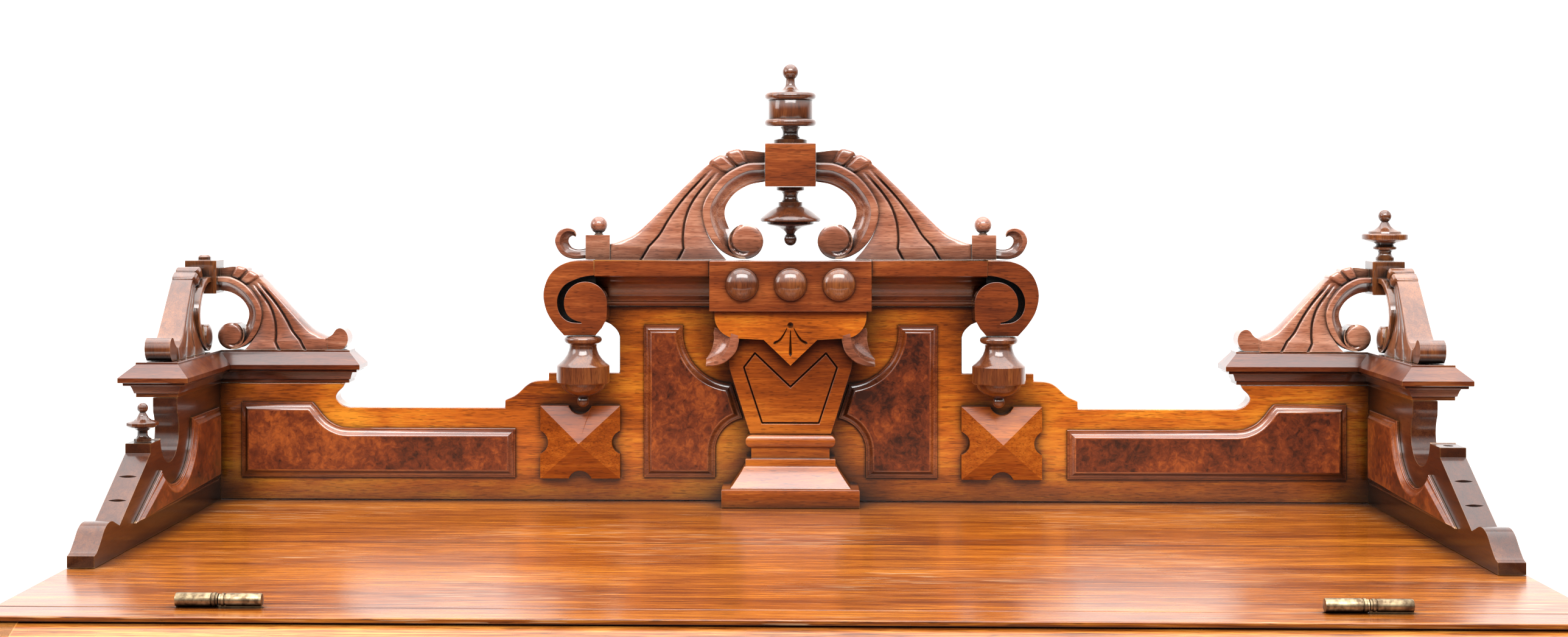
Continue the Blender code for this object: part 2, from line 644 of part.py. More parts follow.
def hood(frame, wood):
    """The quarter-round hood and its lip, drawn from the hinge axis."""
    top = -AXIS_RISE
    half = TOP_WIDTH / 2
    edge = SEAM_GAP / 2
    lip = block((-half, -HOOD_LIP, top - LIP_THICK), (half, -edge, top))
    piece("hood_lip", lip, wood, frame, cut=leaf_pockets(True, top))

    under = top - LIP_THICK - CLEAR
    bottom = top - HOOD_DROP
    start = (HOOD_LIP - 2.5, under)
    lean = math.radians(22)
    lead = HOOD_REACH * 0.42
    curve = bezier(start, (start[0] + lead * math.cos(lean), under - lead * math.sin(lean)),
                   (HOOD_REACH, top - HOOD_DROP * 0.42), (HOOD_REACH, bottom), 12)
    solid = prism([(edge, under)] + curve + [(edge, bottom)], -CASE_HALF, CASE_HALF, side)
    inner = inward(curve, HOOD_WALL)
    beyond = HOOD_WALL
    hollow = [(-beyond, inner[0][1])] + inner[:-1]
    hollow += [(HOOD_REACH - HOOD_WALL, bottom - beyond), (-beyond, bottom - beyond)]
    cavity = prism(hollow, -CASE_HALF + HOOD_SIDE, CASE_HALF - HOOD_SIDE, side)
    piece("hood_shell", solid, wood, frame, cut=[cavity] + leaf_pockets(True, top))


def lid_hinges(desk, axis, brass):
    """Two lift-off hinges: the fixed knuckle holds the pin that the moving knuckle turns on."""
    rise = TOP_HEIGHT + AXIS_RISE
    for name, sign in sides():
        center = sign * HINGE_X

        def along(z):
            return lambda p, q, h: Vector((center + h, p, z + q))

        start = -BARREL_LENGTH - CLEAR
        barrel = turned([(BARREL_RADIUS, start), (BARREL_RADIUS, -CLEAR)], 16, along(rise))
        pin = turned([(HINGE_PIN, -2), (HINGE_PIN, BARREL_LENGTH * 0.7)], 12, along(rise))
        leaf = block((center + start, CLEAR, TOP_HEIGHT - LEAF_DROP),
                     (center - CLEAR, CLEAR + LEAF_THICK, rise - 2))
        piece("hinge_" + name + "_fixed", barrel, brass, desk, joined=[pin, leaf])

        barrel = turned([(BARREL_RADIUS, CLEAR), (BARREL_RADIUS, BARREL_LENGTH + CLEAR)], 16, along(0))
        leaf = block((center + CLEAR, -CLEAR - LEAF_THICK, -AXIS_RISE - LEAF_DROP),
                     (center + BARREL_LENGTH + CLEAR, -CLEAR, -2))
        bore = turned([(HINGE_PIN + CLEAR, -2), (HINGE_PIN + CLEAR, BARREL_LENGTH * 0.8)], 12, along(0))
        piece("hinge_" + name + "_moving", barrel, brass, axis, joined=[leaf], cut=[bore])


def drawer_floor(index):
    """The lowest point of a drawer's space, counted from the bottom drawer."""
    low = BASE_HEIGHT + CLEAR
    pitch = (BED_HEIGHT - BED_THICK - low) / len(DRAWERS)
    return low + index * pitch, pitch


def case(frame, wood):
    """The fixed case under the top board."""
    top = TOP_HEIGHT - TOP_THICK - CLEAR
    low = BASE_HEIGHT + CLEAR
    front_edge = SEAM_GAP
    rear = CASE_DEPTH - BACK_WALL
    for name, sign in sides():
        xs = sorted((sign * CASE_INNER, sign * CASE_HALF))
        board = block((xs[0], front_edge, low), (xs[1], CASE_DEPTH, top))
        runners = []
        for index in range(len(DRAWERS)):
            floor, pitch = drawer_floor(index)
            xs = sorted((sign * (CASE_INNER - RUNNER_WIDTH), sign * (CASE_INNER + 2)))
            start = DRAWER_SETBACK + DRAWER_FRONT + RUN
            runners.append(block((xs[0], start, floor + 4), (xs[1], rear - RUN, floor + 4 + RUNNER_HEIGHT)))
        socket = [(PIVOT_RADIUS + CLEAR, -4), (PIVOT_RADIUS + CLEAR, PIVOT_LENGTH + 1)]
        height = fall_height()
        hole = turned(socket, 16,
                      lambda p, q, h: Vector((sign * (CASE_INNER + h), FALL_SETBACK + p, height + q)))
        framed(board, (sign, 0, 0))
        piece("case_side_" + name, board, wood, frame, joined=runners, cut=[hole])
    reach = CASE_INNER - CLEAR
    piece("case_back", block((-reach, rear, low), (reach, CASE_DEPTH, top)), wood, frame)

    half = CASE_HALF + 6
    arch = half - FOOT_WIDTH
    ogee = smooth([(arch, 0), (arch - 8, 22), (arch - 26, 36), (arch - 50, ARCH_RISE)])
    right = ogee[::-1] + [(half - 12, 0), (half, 14), (half, BASE_HEIGHT - 14), (half - 6, BASE_HEIGHT)]
    outline = right + [(-x, z) for x, z in reversed(right)]
    piece("case_base", prism(outline, -front_edge, -CASE_DEPTH, front), wood, frame)

    bed = FALL_SETBACK + math.hypot(FALL_THICK / 2, FALL_THICK / 2) + RUN
    bm = block((-reach, bed, BED_HEIGHT - BED_THICK), (reach, rear - CLEAR, BED_HEIGHT))
    piece("writing_bed", bm, wood, frame)


def letter_rack(frame, wood, name, base, height, bays):
    """A row of open bays under one board."""
    reach = CASE_INNER - CLEAR
    step = (2 * reach - RACK_WALL) / bays
    top = base + height
    outline = [(-reach, base), (-reach, top), (reach, top), (reach, base)]
    for index in range(bays):
        right = reach - RACK_WALL - index * step
        left = right - step + RACK_WALL
        outline += [(right, base), (right, top - RACK_WALL), (left, top - RACK_WALL), (left, base)]
    rear = CASE_DEPTH - BACK_WALL - CLEAR
    piece(name, prism(outline, -rear + RACK_DEPTH, -rear, front), wood, frame)


def fall_height():
    """The height of the fall's pivots: open, its inner face is level with the bed."""
    return BED_HEIGHT - FALL_THICK / 2


def fall_front(axis, wood):
    """The writing fall, which leans back when shut."""
    reach = CASE_INNER - RUN
    half = FALL_THICK / 2
    panel = block((-reach, -half, -half), (reach, half, FALL_LENGTH))
    pins = []
    for name, sign in sides():
        pins.append(turned([(PIVOT_RADIUS, -4), (PIVOT_RADIUS, RUN + PIVOT_LENGTH)], 16,
                           lambda p, q, h, s=sign: Vector((s * (reach + h), p, q))))
    obj = piece("fall_front", panel, wood, axis, joined=pins)
    obj.rotation_euler = (-math.radians(FALL_LEAN), 0, 0)


def wing_door(axis, wood, name, sign):
    """A wing door, open at a right angle: a deep case with shelves that face the middle of the desk."""
    near = ROD_FORWARD
    far = near + DOOR_DEPTH
    hang = -ROD_OFFSET
    free = -(ROD_X - DOOR_GAP / 2)

    def box(x0, y0, z0, x1, y1, z1):
        xs = sorted((sign * x0, sign * x1))
        return block((xs[0], y0, z0), (xs[1], y1, z1))

    body = framed(box(near, free, DOOR_BOTTOM, far, hang, DOOR_TOP), (sign, 0, 0))
    step = (DOOR_TOP - DOOR_BOTTOM - DOOR_WALL) / DOOR_BAYS
    bays = []
    for index in range(DOOR_BAYS):
        z0 = DOOR_BOTTOM + DOOR_WALL + index * step
        z1 = z0 + step - DOOR_WALL
        bays.append(box(-DOOR_WALL, free + DOOR_WALL, z0, far - DOOR_WALL, hang - DOOR_WALL, z1))
    lugs = []
    for z0 in lug_heights():
        lugs.append(turned([(LUG_RADIUS, z0), (LUG_RADIUS, z0 + LUG_LENGTH)], 16, upright(0, 0, 0)))
        lugs.append(box(-1, hang - 2, z0, near + 4, 0, z0 + LUG_LENGTH))
    knob = turned([(8, -3), (8, 6), (KNOB_RADIUS, 14), (KNOB_RADIUS, 20), (8, KNOB_REACH)], 12,
                  lambda p, q, h: Vector((sign * (far + h), free + 45 + p, (DOOR_BOTTOM + DOOR_TOP) / 2 + q)))
    reach = ROD_RADIUS + CLEAR
    bore = turned([(reach, DOOR_BOTTOM - 10), (reach, DOOR_TOP + 10)], 16, upright(0, 0, 0))
    piece("door_" + name, body, wood, axis, joined=lugs + [knob], cut=bays + [bore])


def lug_heights():
    """The lower ends of a door's two hinge lugs."""
    return (DOOR_BOTTOM + 40, DOOR_TOP - 40 - LUG_LENGTH)


def door_rod(axis, brass, name, sign):
    """The hinge rod of a wing door, on three brackets that lie against the side of the case."""
    rod = turned([(ROD_RADIUS, DOOR_BOTTOM + 5), (ROD_RADIUS, DOOR_TOP - 5)], 16, upright(0, 0, 0))
    face = ROD_OFFSET - CLEAR
    low, high = lug_heights()
    brackets = []
    for z1 in (low - CLEAR, high - CLEAR, DOOR_TOP - 8):
        z0 = z1 - 26
        for outer, y0, y1 in ((-2, -1, 5), (face - 3, 3, 36)):
            xs = sorted((-sign * face, -sign * outer))
            brackets.append(block((xs[0], y0, z0), (xs[1], y1, z1)))
    piece("door_rod_" + name, rod, brass, axis, joined=brackets)


def drawer(frame, wood, name, height):
    """A drawer with two turned knobs, drawn from the middle of its front."""
    reach = CASE_INNER - RUN
    floor = 4 + RUNNER_HEIGHT + CLEAR
    front_board = block((-reach, 0, RUN / 2), (reach, DRAWER_FRONT, height - RUN))
    tray = block((-reach, DRAWER_FRONT - 2, floor), (reach, DRAWER_DEPTH, height - 26))
    inside = block((-reach + DRAWER_WALL, DRAWER_FRONT, floor + DRAWER_WALL),
                   (reach - DRAWER_WALL, DRAWER_DEPTH - DRAWER_WALL, height + 10))
    knobs = []
    for x in (-KNOB_SPREAD, KNOB_SPREAD):
        knobs.append(turned([(8, -3), (8, 6), (KNOB_RADIUS, 14), (KNOB_RADIUS, 20), (8, KNOB_REACH)], 12,
                            lambda p, q, h, x=x: Vector((x + p, -h, height / 2 + q))))
    piece(name, front_board, wood, frame, joined=[tray] + knobs, cut=[inside])


def build():
    clear_scene()
    walnut = finish_material("walnut", (0.22, 0.075, 0.024), 0.38)
    carved = finish_material("carved_walnut", (0.15, 0.05, 0.02), 0.42)
    burl = finish_material("burl_veneer", (0.13, 0.036, 0.014), 0.3)
    top_wood = finish_material("polished_top", (0.34, 0.12, 0.03), 0.3)
    inner_wood = finish_material("drawer_wood", (0.42, 0.24, 0.1), 0.5)
    brass = finish_material("aged_brass", (0.36, 0.25, 0.12), 0.4, 1.0)

    desk = frame_empty("desk", 0, FRONT_Y, 0)
    gallery(frame_empty("gallery", 0, PANEL_Y, TOP_HEIGHT), walnut, carved, burl)
    top_board(desk, top_wood)
    hood_axis = frame_empty("hood_axis", 0, FRONT_Y, TOP_HEIGHT + AXIS_RISE)
    hood(hood_axis, top_wood)
    lid_hinges(desk, hood_axis, brass)
    case(desk, walnut)
    rack_base = BED_HEIGHT + CLEAR
    letter_rack(desk, inner_wood, "letter_rack_lower", rack_base, RACK_LOW_HEIGHT, LOW_BAYS)
    rack_base += RACK_LOW_HEIGHT + CLEAR
    rack_height = TOP_HEIGHT - TOP_THICK - RACK_HEADROOM - rack_base
    letter_rack(desk, inner_wood, "letter_rack_upper", rack_base, rack_height, HIGH_BAYS)
    fall_front(frame_empty("fall_axis", 0, FRONT_Y + FALL_SETBACK, fall_height()), walnut)
    for name, sign in sides():
        axis = frame_empty("door_axis_" + name, sign * ROD_X, FRONT_Y - ROD_FORWARD, 0)
        wing_door(axis, walnut, name, sign)
        door_rod(axis, brass, name, sign)
    for index, name in enumerate(DRAWERS):
        floor, height = drawer_floor(index)
        drawer(frame_empty(name + "_slide", 0, FRONT_Y + DRAWER_SETBACK, floor), inner_wood, name, height)


build()
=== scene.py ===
"""Secretary desk with wing doors: finishes, carving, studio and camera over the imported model.

Lengths in the drawings are millimetres. Gallery drawings use x from the middle, out toward the viewer from
the back board's face, and z above the top board.
"""
import math

import bmesh
import bpy
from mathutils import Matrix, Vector


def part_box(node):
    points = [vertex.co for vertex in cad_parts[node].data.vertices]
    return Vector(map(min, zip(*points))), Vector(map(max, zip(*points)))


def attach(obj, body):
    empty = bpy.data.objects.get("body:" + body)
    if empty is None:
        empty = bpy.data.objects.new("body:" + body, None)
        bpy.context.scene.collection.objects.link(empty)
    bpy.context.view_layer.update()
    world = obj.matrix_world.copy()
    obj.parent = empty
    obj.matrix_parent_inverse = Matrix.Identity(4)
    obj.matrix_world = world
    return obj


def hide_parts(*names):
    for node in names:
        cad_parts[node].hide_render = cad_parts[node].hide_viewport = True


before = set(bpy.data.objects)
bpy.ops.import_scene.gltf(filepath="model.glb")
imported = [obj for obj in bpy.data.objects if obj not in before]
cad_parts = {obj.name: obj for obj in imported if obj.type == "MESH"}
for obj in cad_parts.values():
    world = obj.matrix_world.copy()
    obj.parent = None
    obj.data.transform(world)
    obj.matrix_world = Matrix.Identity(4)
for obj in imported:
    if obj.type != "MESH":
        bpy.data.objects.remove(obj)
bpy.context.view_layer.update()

MM = 0.001
CLEAR = 0.3
SIDES = (("left", -1), ("right", 1))
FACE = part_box("back_panel")[0].y
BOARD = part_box("top_board")[1].z


def height(node_name, end):
    """How far the low end (0) or the high end (1) of a CAD node lies above the top board."""
    return (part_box(node_name)[end].z - BOARD) / MM


GLUE_LINE = FACE - 213.6 * MM
BACK_THICK = 21
SIDE_TALL = 107
SIDE_FINIAL_OUT = 186
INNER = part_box("side_panel_right")[0].x / MM
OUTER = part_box("side_panel_right")[1].x / MM
CORNICE_TALL = 42.7
CORNICE_TOP = height("cornice_right", 1)
CORNICE_BASE = CORNICE_TOP - CORNICE_TALL
TABLET_HALF = 72.6
CREST_BASE = height("crest_scroll_right", 0)
CREST_PLANE = 6.0
CREST_LENGTH = 140
BLOCK_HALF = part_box("crest_block")[1].x / MM
CAP_BASE = height("corner_cap_right", 0)
CAP_TOP = height("corner_cap_right", 1)
CAP_OVERHANG = 12.5
CAP_WIDTH = 60
CAP_BACK = 22.2
CAP_BACK_ARM = 130.8
CAP_SIDE_ARM = 140
POST_LOW, POST_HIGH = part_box("corner_post_right")
POST_X = (POST_LOW.x + POST_HIGH.x) / 2 / MM
POST_OUT = (FACE - (POST_LOW.y + POST_HIGH.y) / 2) / MM
POST_HALF = 14.5
POST_DEEP = 12.5


def at(x, out, z):
    """A point of the gallery in the desk's frame."""
    return Vector((x * MM, FACE - out * MM, BOARD + z * MM))


def from_front(x, z, out):
    return at(x, out, z)


def from_side(out, z, x):
    return at(x, out, z)


# Drawing

def arc(cx, cy, radius, start, end, count):
    """Points along an arc, angles in degrees."""
    angles = [math.radians(start + (end - start) * i / count) for i in range(count + 1)]
    return [(cx + radius * math.cos(a), cy + radius * math.sin(a)) for a in angles]


def spline(points, count):
    """A smooth curve through the points, as count equal steps."""
    first = (2 * points[0][0] - points[1][0], 2 * points[0][1] - points[1][1])
    last = (2 * points[-1][0] - points[-2][0], 2 * points[-1][1] - points[-2][1])
    ends = [first] + list(points) + [last]
    dense = []
    for a, b, c, d in zip(ends, ends[1:], ends[2:], ends[3:]):
        for i in range(16):
            t = i / 16
            weights = (-t + 2 * t * t - t ** 3, 2 - 5 * t * t + 3 * t ** 3,
                       t + 4 * t * t - 3 * t ** 3, t ** 3 - t * t)
            dense.append(tuple(sum(w * p[k] / 2 for w, p in zip(weights, (a, b, c, d))) for k in (0, 1)))
    dense.append(tuple(points[-1]))
    lengths = [0.0]
    for a, b in zip(dense, dense[1:]):
        lengths.append(lengths[-1] + math.dist(a, b))
    curve = []
    k = 0
    for i in range(count + 1):
        want = lengths[-1] * i / count
        while k < len(lengths) - 2 and lengths[k + 1] < want:
            k += 1
        t = (want - lengths[k]) / max(lengths[k + 1] - lengths[k], 1e-9)
        curve.append(tuple(dense[k][j] + (dense[k + 1][j] - dense[k][j]) * t for j in (0, 1)))
    return curve


def direction(points, i):
    """The direction of a line of points at one of them."""
    a = points[max(i - 1, 0)]
    b = points[min(i + 1, len(points) - 1)]
    return Vector((b[0] - a[0], b[1] - a[1])).normalized()


def inset(outline, amount):
    """An outline moved inward, with mitred corners. Edges too short to follow close up into their corner."""
    ring = [Vector(p) for p in outline]
    count = len(ring)
    area = sum(a.x * b.y - b.x * a.y for a, b in zip(ring, ring[1:] + ring[:1]))
    turn = 1 if area > 0 else -1
    ways = [(b - a).normalized() for a, b in zip(ring, ring[1:] + ring[:1])]
    normals = [Vector((-way.y, way.x)) * turn for way in ways]
    kept = list(range(count))
    while True:
        moved = list(ring)
        for a, b in zip(kept[-1:] + kept[:-1], kept):
            start = ring[b] + normals[b] * amount
            across = ways[b].dot(normals[a])
            if (a + 1) % count == b:
                mitre = (normals[a] + normals[b]) / max(1 + normals[a].dot(normals[b]), 0.3)
                point = ring[b] + mitre * amount
            elif abs(across) < 1e-6:
                point = start
            else:
                gap = (ring[a] + normals[a] * amount - start).dot(normals[a])
                point = start + ways[b] * (gap / across)
            while a != b:
                a = (a + 1) % count
                moved[a] = point
        turned_back = [i for i in kept if (moved[(i + 1) % count] - moved[i]).dot(ways[i]) < 0]
        if not turned_back or len(kept) - len(turned_back) < 3:
            return [tuple(point) for point in moved]
        kept = [i for i in kept if i not in turned_back]


def mirror(half):
    """A whole outline from its right half."""
    return half + [(-p, q) for p, q in reversed(half)]


def flipped(outline, sign):
    """An outline on the right side, or its mirror image on the left."""
    return [(sign * p, q) for p, q in outline]


# Shapes

def loft(loops, ring=False):
    """A closed skin through loops of points that match one to one; a ring joins its last loop to its first."""
    bm = bmesh.new()
    rows = [[bm.verts.new(point) for point in loop] for loop in loops]
    if ring:
        rows.append(rows[0])
    count = len(rows[0])
    for low, high in zip(rows, rows[1:]):
        for i in range(count):
            j = (i + 1) % count
            bm.faces.new((low[i], low[j], high[j], high[i]))
    if not ring:
        bm.faces.new(rows[0])
        bm.faces.new(rows[-1])
    return bm


def prism(outline, start, end, view):
    """An outline drawn in a view and given thickness."""
    return loft([[view(p, q, t) for p, q in outline] for t in (start, end)])


def stepped(outline, steps, view, ring=False):
    """An outline that climbs in steps of (inset, height), as a moulding does."""
    return loft([[view(p, q, rise) for p, q in inset(outline, amount)] for amount, rise in steps], ring)


def turned(profile, place, count=48):
    """A turned piece: profile holds (radius, distance along the axis), place puts (p, q, along) in space."""
    angles = [2 * math.pi * (i + 0.5) / count for i in range(count)]
    return loft([[place(r * math.cos(a), r * math.sin(a), h) for a in angles] for r, h in profile])


def upright(x, out, base):
    """Places a turned piece on an upright axis."""
    return lambda p, q, along: at(x + p, out + q, base + along)


def facing_front(x, z, out):
    """Places a turned piece on an axis that comes toward the viewer."""
    return lambda p, q, along: at(x + p, out + along, z + q)


def bead(radius, center, start=-80, end=80, count=12):
    """The profile of a ball or of a round moulding on a turned piece."""
    return [(r, center + h) for r, h in arc(0, 0, radius, start, end, count)]


def ring_bead(outer, half, center, count=8):
    """The profile of a round ring that stands out to a radius."""
    return [(outer - half + r, center + h) for r, h in arc(0, 0, half, -90, 90, count)]


def carved(inner, outer, across, relief, depth, place, flat_back=False, bend=None):
    """A board between two edge curves. relief tells how deep its faces are cut at (along, across), bend how
    far the lines along it bow toward the outer curve."""
    bm = bmesh.new()
    steps = len(inner) - 1
    sheets = []
    for face in (1, -1):
        grid = []
        for i, (a, b) in enumerate(zip(inner, outer)):
            row_points = []
            sway = bend(i / steps) if bend else 0.0
            for t in across:
                share = t + sway * 4 * t * (1 - t)
                p = a[0] + (b[0] - a[0]) * share
                q = a[1] + (b[1] - a[1]) * share
                cut_in = 0.0 if flat_back and face < 0 else relief(i / steps, t, math.dist(a, b))
                row_points.append(bm.verts.new(place(p, q, face * (depth - cut_in))))
            grid.append(row_points)
        sheets.append(grid)
        for low, high in zip(grid, grid[1:]):
            for j in range(len(across) - 1):
                bm.faces.new((low[j], low[j + 1], high[j + 1], high[j]))
    near, far = ([grid[0], grid[-1], [r[0] for r in grid], [r[-1] for r in grid]] for grid in sheets)
    for edge, back in zip(near, far):
        for j in range(len(edge) - 1):
            bm.faces.new((edge[j], edge[j + 1], back[j + 1], back[j]))
    return bm


def box(low, high):
    """A box between two corners in metres."""
    (x0, y0, z0), (x1, y1, z1) = low, high
    base = ((x0, y0), (x1, y0), (x1, y1), (x0, y1))
    return loft([[Vector((x, y, z)) for x, y in base] for z in (z0, z1)])


def joined(*shapes):
    """Several shapes as one."""
    whole = bmesh.new()
    for shape in shapes:
        mesh = bpy.data.meshes.new("shape")
        shape.to_mesh(mesh)
        shape.free()
        whole.from_mesh(mesh)
        bpy.data.meshes.remove(mesh)
    return whole


def added(name, data):
    """A new object in the scene."""
    obj = bpy.data.objects.new(name, data)
    bpy.context.collection.objects.link(obj)
    return obj


def plain_object(name, shape):
    bmesh.ops.remove_doubles(shape, verts=shape.verts, dist=1e-6)
    bmesh.ops.recalc_face_normals(shape, faces=shape.faces)
    mesh = bpy.data.meshes.new(name)
    shape.to_mesh(mesh)
    shape.free()
    return added(name, mesh)


def settled(obj):
    """Applies an object's modifiers to its mesh; the modifiers go."""
    graph = bpy.context.evaluated_depsgraph_get()
    mesh = bpy.data.meshes.new_from_object(obj.evaluated_get(graph))
    obj.modifiers.clear()
    obj.data = mesh


def cut(shape, *tools):
    """A shape with others cut out of it."""
    obj = plain_object("cut", shape)
    for tool in tools:
        cutter = plain_object("cutter", tool)
        modifier = obj.modifiers.new("cut", "BOOLEAN")
        modifier.operation = "DIFFERENCE"
        modifier.solver = "EXACT"
        modifier.object = cutter
        settled(obj)
        bpy.data.objects.remove(cutter, do_unlink=True)
    whole = bmesh.new()
    whole.from_mesh(obj.data)
    bpy.data.objects.remove(obj, do_unlink=True)
    return whole


def shade(mesh):
    """Smooth shading that keeps real edges crisp."""
    mesh.shade_smooth()
    mesh.set_sharp_from_angle(angle=math.radians(34))


def soften(obj, width):
    """Rounds the sharp edges of a piece a little, as sanding and wear do."""
    modifier = obj.modifiers.new("rounded edges", "BEVEL")
    modifier.width = width * MM
    modifier.segments = 2
    modifier.limit_method = "ANGLE"
    modifier.angle_limit = math.radians(38)
    modifier.harden_normals = True


def piece(name, shape, material, stands_for=(), body="case", edge=0.0, field=None):
    """One finished piece on its body. field is a second material for the faces marked with it."""
    obj = plain_object(name, shape)
    obj.data.name = name
    obj.data.materials.append(material)
    if field:
        obj.data.materials.append(field)
    shade(obj.data)
    if edge:
        soften(obj, edge)
    if stands_for:
        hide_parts(*stands_for)
    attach(obj, body)


def row_tree():
    """Geometry nodes that set a shape out in a row."""
    tree = bpy.data.node_groups.new("row", "GeometryNodeTree")
    for label, kind in (("Shape", "Object"), ("Count", "Int"), ("Pitch", "Vector"), ("Finish", "Material")):
        tree.interface.new_socket(label, in_out="INPUT", socket_type="NodeSocket" + kind)
    tree.interface.new_socket("Geometry", in_out="OUTPUT", socket_type="NodeSocketGeometry")
    given = node(tree, "NodeGroupInput").outputs
    line = node(tree, "GeometryNodeMeshLine", {"Count": given["Count"], "Offset": given["Pitch"]},
                mode="OFFSET").outputs["Mesh"]
    shape = node(tree, "GeometryNodeObjectInfo", {"Object": given["Shape"]}).outputs["Geometry"]
    placed = node(tree, "GeometryNodeInstanceOnPoints", {"Points": line, "Instance": shape})
    real = node(tree, "GeometryNodeRealizeInstances", {"Geometry": placed.outputs["Instances"]})
    painted = node(tree, "GeometryNodeSetMaterial", {"Geometry": real.outputs["Geometry"],
                                                     "Material": given["Finish"]})
    node(tree, "NodeGroupOutput", {"Geometry": painted.outputs["Geometry"]})
    return tree


def row(name, shape, count, pitch, material, body="case"):
    """A shape repeated along a straight line, pitch in metres, as one piece."""
    pattern = plain_object("pattern", shape)
    shade(pattern.data)
    obj = added(name, bpy.data.meshes.new(name))
    modifier = obj.modifiers.new("row", "NODES")
    modifier.node_group = ROW
    values = {"Shape": pattern, "Count": count, "Pitch": pitch, "Finish": material}
    for socket in ROW.interface.items_tree:
        if socket.in_out == "INPUT":
            modifier[socket.identifier] = values[socket.name]
    settled(obj)
    obj.data.name = name
    bpy.data.objects.remove(pattern, do_unlink=True)
    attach(obj, body)


def dress(node_name, material, edge=0.8):
    """A CAD node that stays: its finish, and slightly rounded edges."""
    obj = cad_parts[node_name]
    obj.data.materials.clear()
    obj.data.materials.append(material)
    weld = obj.modifiers.new("weld", "WELD")
    weld.merge_threshold = 0.00002
    soften(obj, edge)


# Shader nodes

def linear(hex_colour):
    """A linear colour from an sRGB hex value."""
    values = [int(hex_colour[i:i + 2], 16) / 255 for i in (1, 3, 5)]
    return tuple(v / 12.92 if v <= 0.04045 else ((v + 0.055) / 1.055) ** 2.4 for v in values) + (1.0,)


def grey(value):
    return (value, value, value, 1.0)


def fill(tree, target, inputs):
    """Gives a node's inputs their values or links."""
    for key, value in inputs.items():
        if isinstance(value, bpy.types.NodeSocket):
            tree.links.new(value, target.inputs[key])
        else:
            target.inputs[key].default_value = value


def node(tree, kind, inputs=None, **settings):
    """Adds a node: settings are its properties, inputs its values or links."""
    new = tree.nodes.new(kind)
    for name, value in settings.items():
        setattr(new, name, value)
    fill(tree, new, inputs or {})
    return new


def ramp(tree, value, *stops):
    """Colours along a value: the two ends first, then what lies between them."""
    new = node(tree, "ShaderNodeValToRGB", {"Fac": value})
    for i, (position, colour) in enumerate(stops):
        element = new.color_ramp.elements[i] if i < 2 else new.color_ramp.elements.new(position)
        element.position = position
        element.color = colour
    return new.outputs["Color"]


def noise(tree, vector, detail, roughness=0.5, distortion=0.0, scale=1.0):
    return node(tree, "ShaderNodeTexNoise", {"Vector": vector, "Scale": scale, "Detail": detail,
                                             "Roughness": roughness, "Distortion": distortion}).outputs["Fac"]


def between(tree, share, first, second):
    """A value between two values."""
    return node(tree, "ShaderNodeMix", {0: share, 2: first, 3: second}).outputs[0]


def blended(tree, share, first, second, kind="MIX"):
    """A second colour over a first one."""
    return node(tree, "ShaderNodeMix", {0: share, 6: first, 7: second}, data_type="RGBA",
                blend_type=kind).outputs[2]


def mapped(tree, value, low, high, start=0.0, end=1.0):
    """A value that runs from start to end, carried over to the range from low to high."""
    return node(tree, "ShaderNodeMapRange", {"Value": value, "From Min": start, "From Max": end,
                                             "To Min": low, "To Max": high}).outputs["Result"]


def maths(tree, operation, *values):
    """The result of an operation on one or two values."""
    return node(tree, "ShaderNodeMath", dict(enumerate(values)), operation=operation).outputs["Value"]


def bump(tree, value, strength, depth):
    return node(tree, "ShaderNodeBump", {"Height": value, "Strength": strength,
                                         "Distance": depth * MM}).outputs["Normal"]


def coordinates(tree, kind="Object"):
    return node(tree, "ShaderNodeTexCoord").outputs[kind]


def stretched(tree, along, size, run):
    """Object coordinates scaled so that one unit is size across the grain and run along it, in millimetres."""
    scale = [1 / (size * MM)] * 3
    scale["XYZ".index(along)] = 1 / (run * MM)
    return node(tree, "ShaderNodeMapping", {"Vector": coordinates(tree), "Scale": scale}).outputs["Vector"]


def fresh(name):
    """A new material, its tree and its shader."""
    material = bpy.data.materials.new(name)
    material.use_nodes = True
    tree = material.node_tree
    return material, tree, tree.nodes["Principled BSDF"]


# Finishes

def darkened_and_rubbed(tree, colour, hollow_colour, rub, reach):
    """A colour with painted shade in its hollows on wood, tarnish in them on brass, and rubbed edges."""
    # Painted shade on wood: occlusion out to reach darkens corners, recesses and undersides toward the hollow
    # colour; on brass this darkening is tarnish.
    hollow = node(tree, "ShaderNodeAmbientOcclusion", {"Distance": reach * MM}, samples=4).outputs["AO"]
    ridge = node(tree, "ShaderNodeAmbientOcclusion", {"Distance": 1.6 * MM}, samples=4, inside=True,
                 only_local=True).outputs["AO"]
    darkened_hollows = ramp(tree, hollow, (0.42, grey(1.0)), (0.96, grey(0.0)))
    rubbed = ramp(tree, ridge, (0.2, grey(0.5)), (0.55, grey(0.0)))
    return blended(tree, rubbed, blended(tree, darkened_hollows, colour, linear(hollow_colour)), linear(rub))


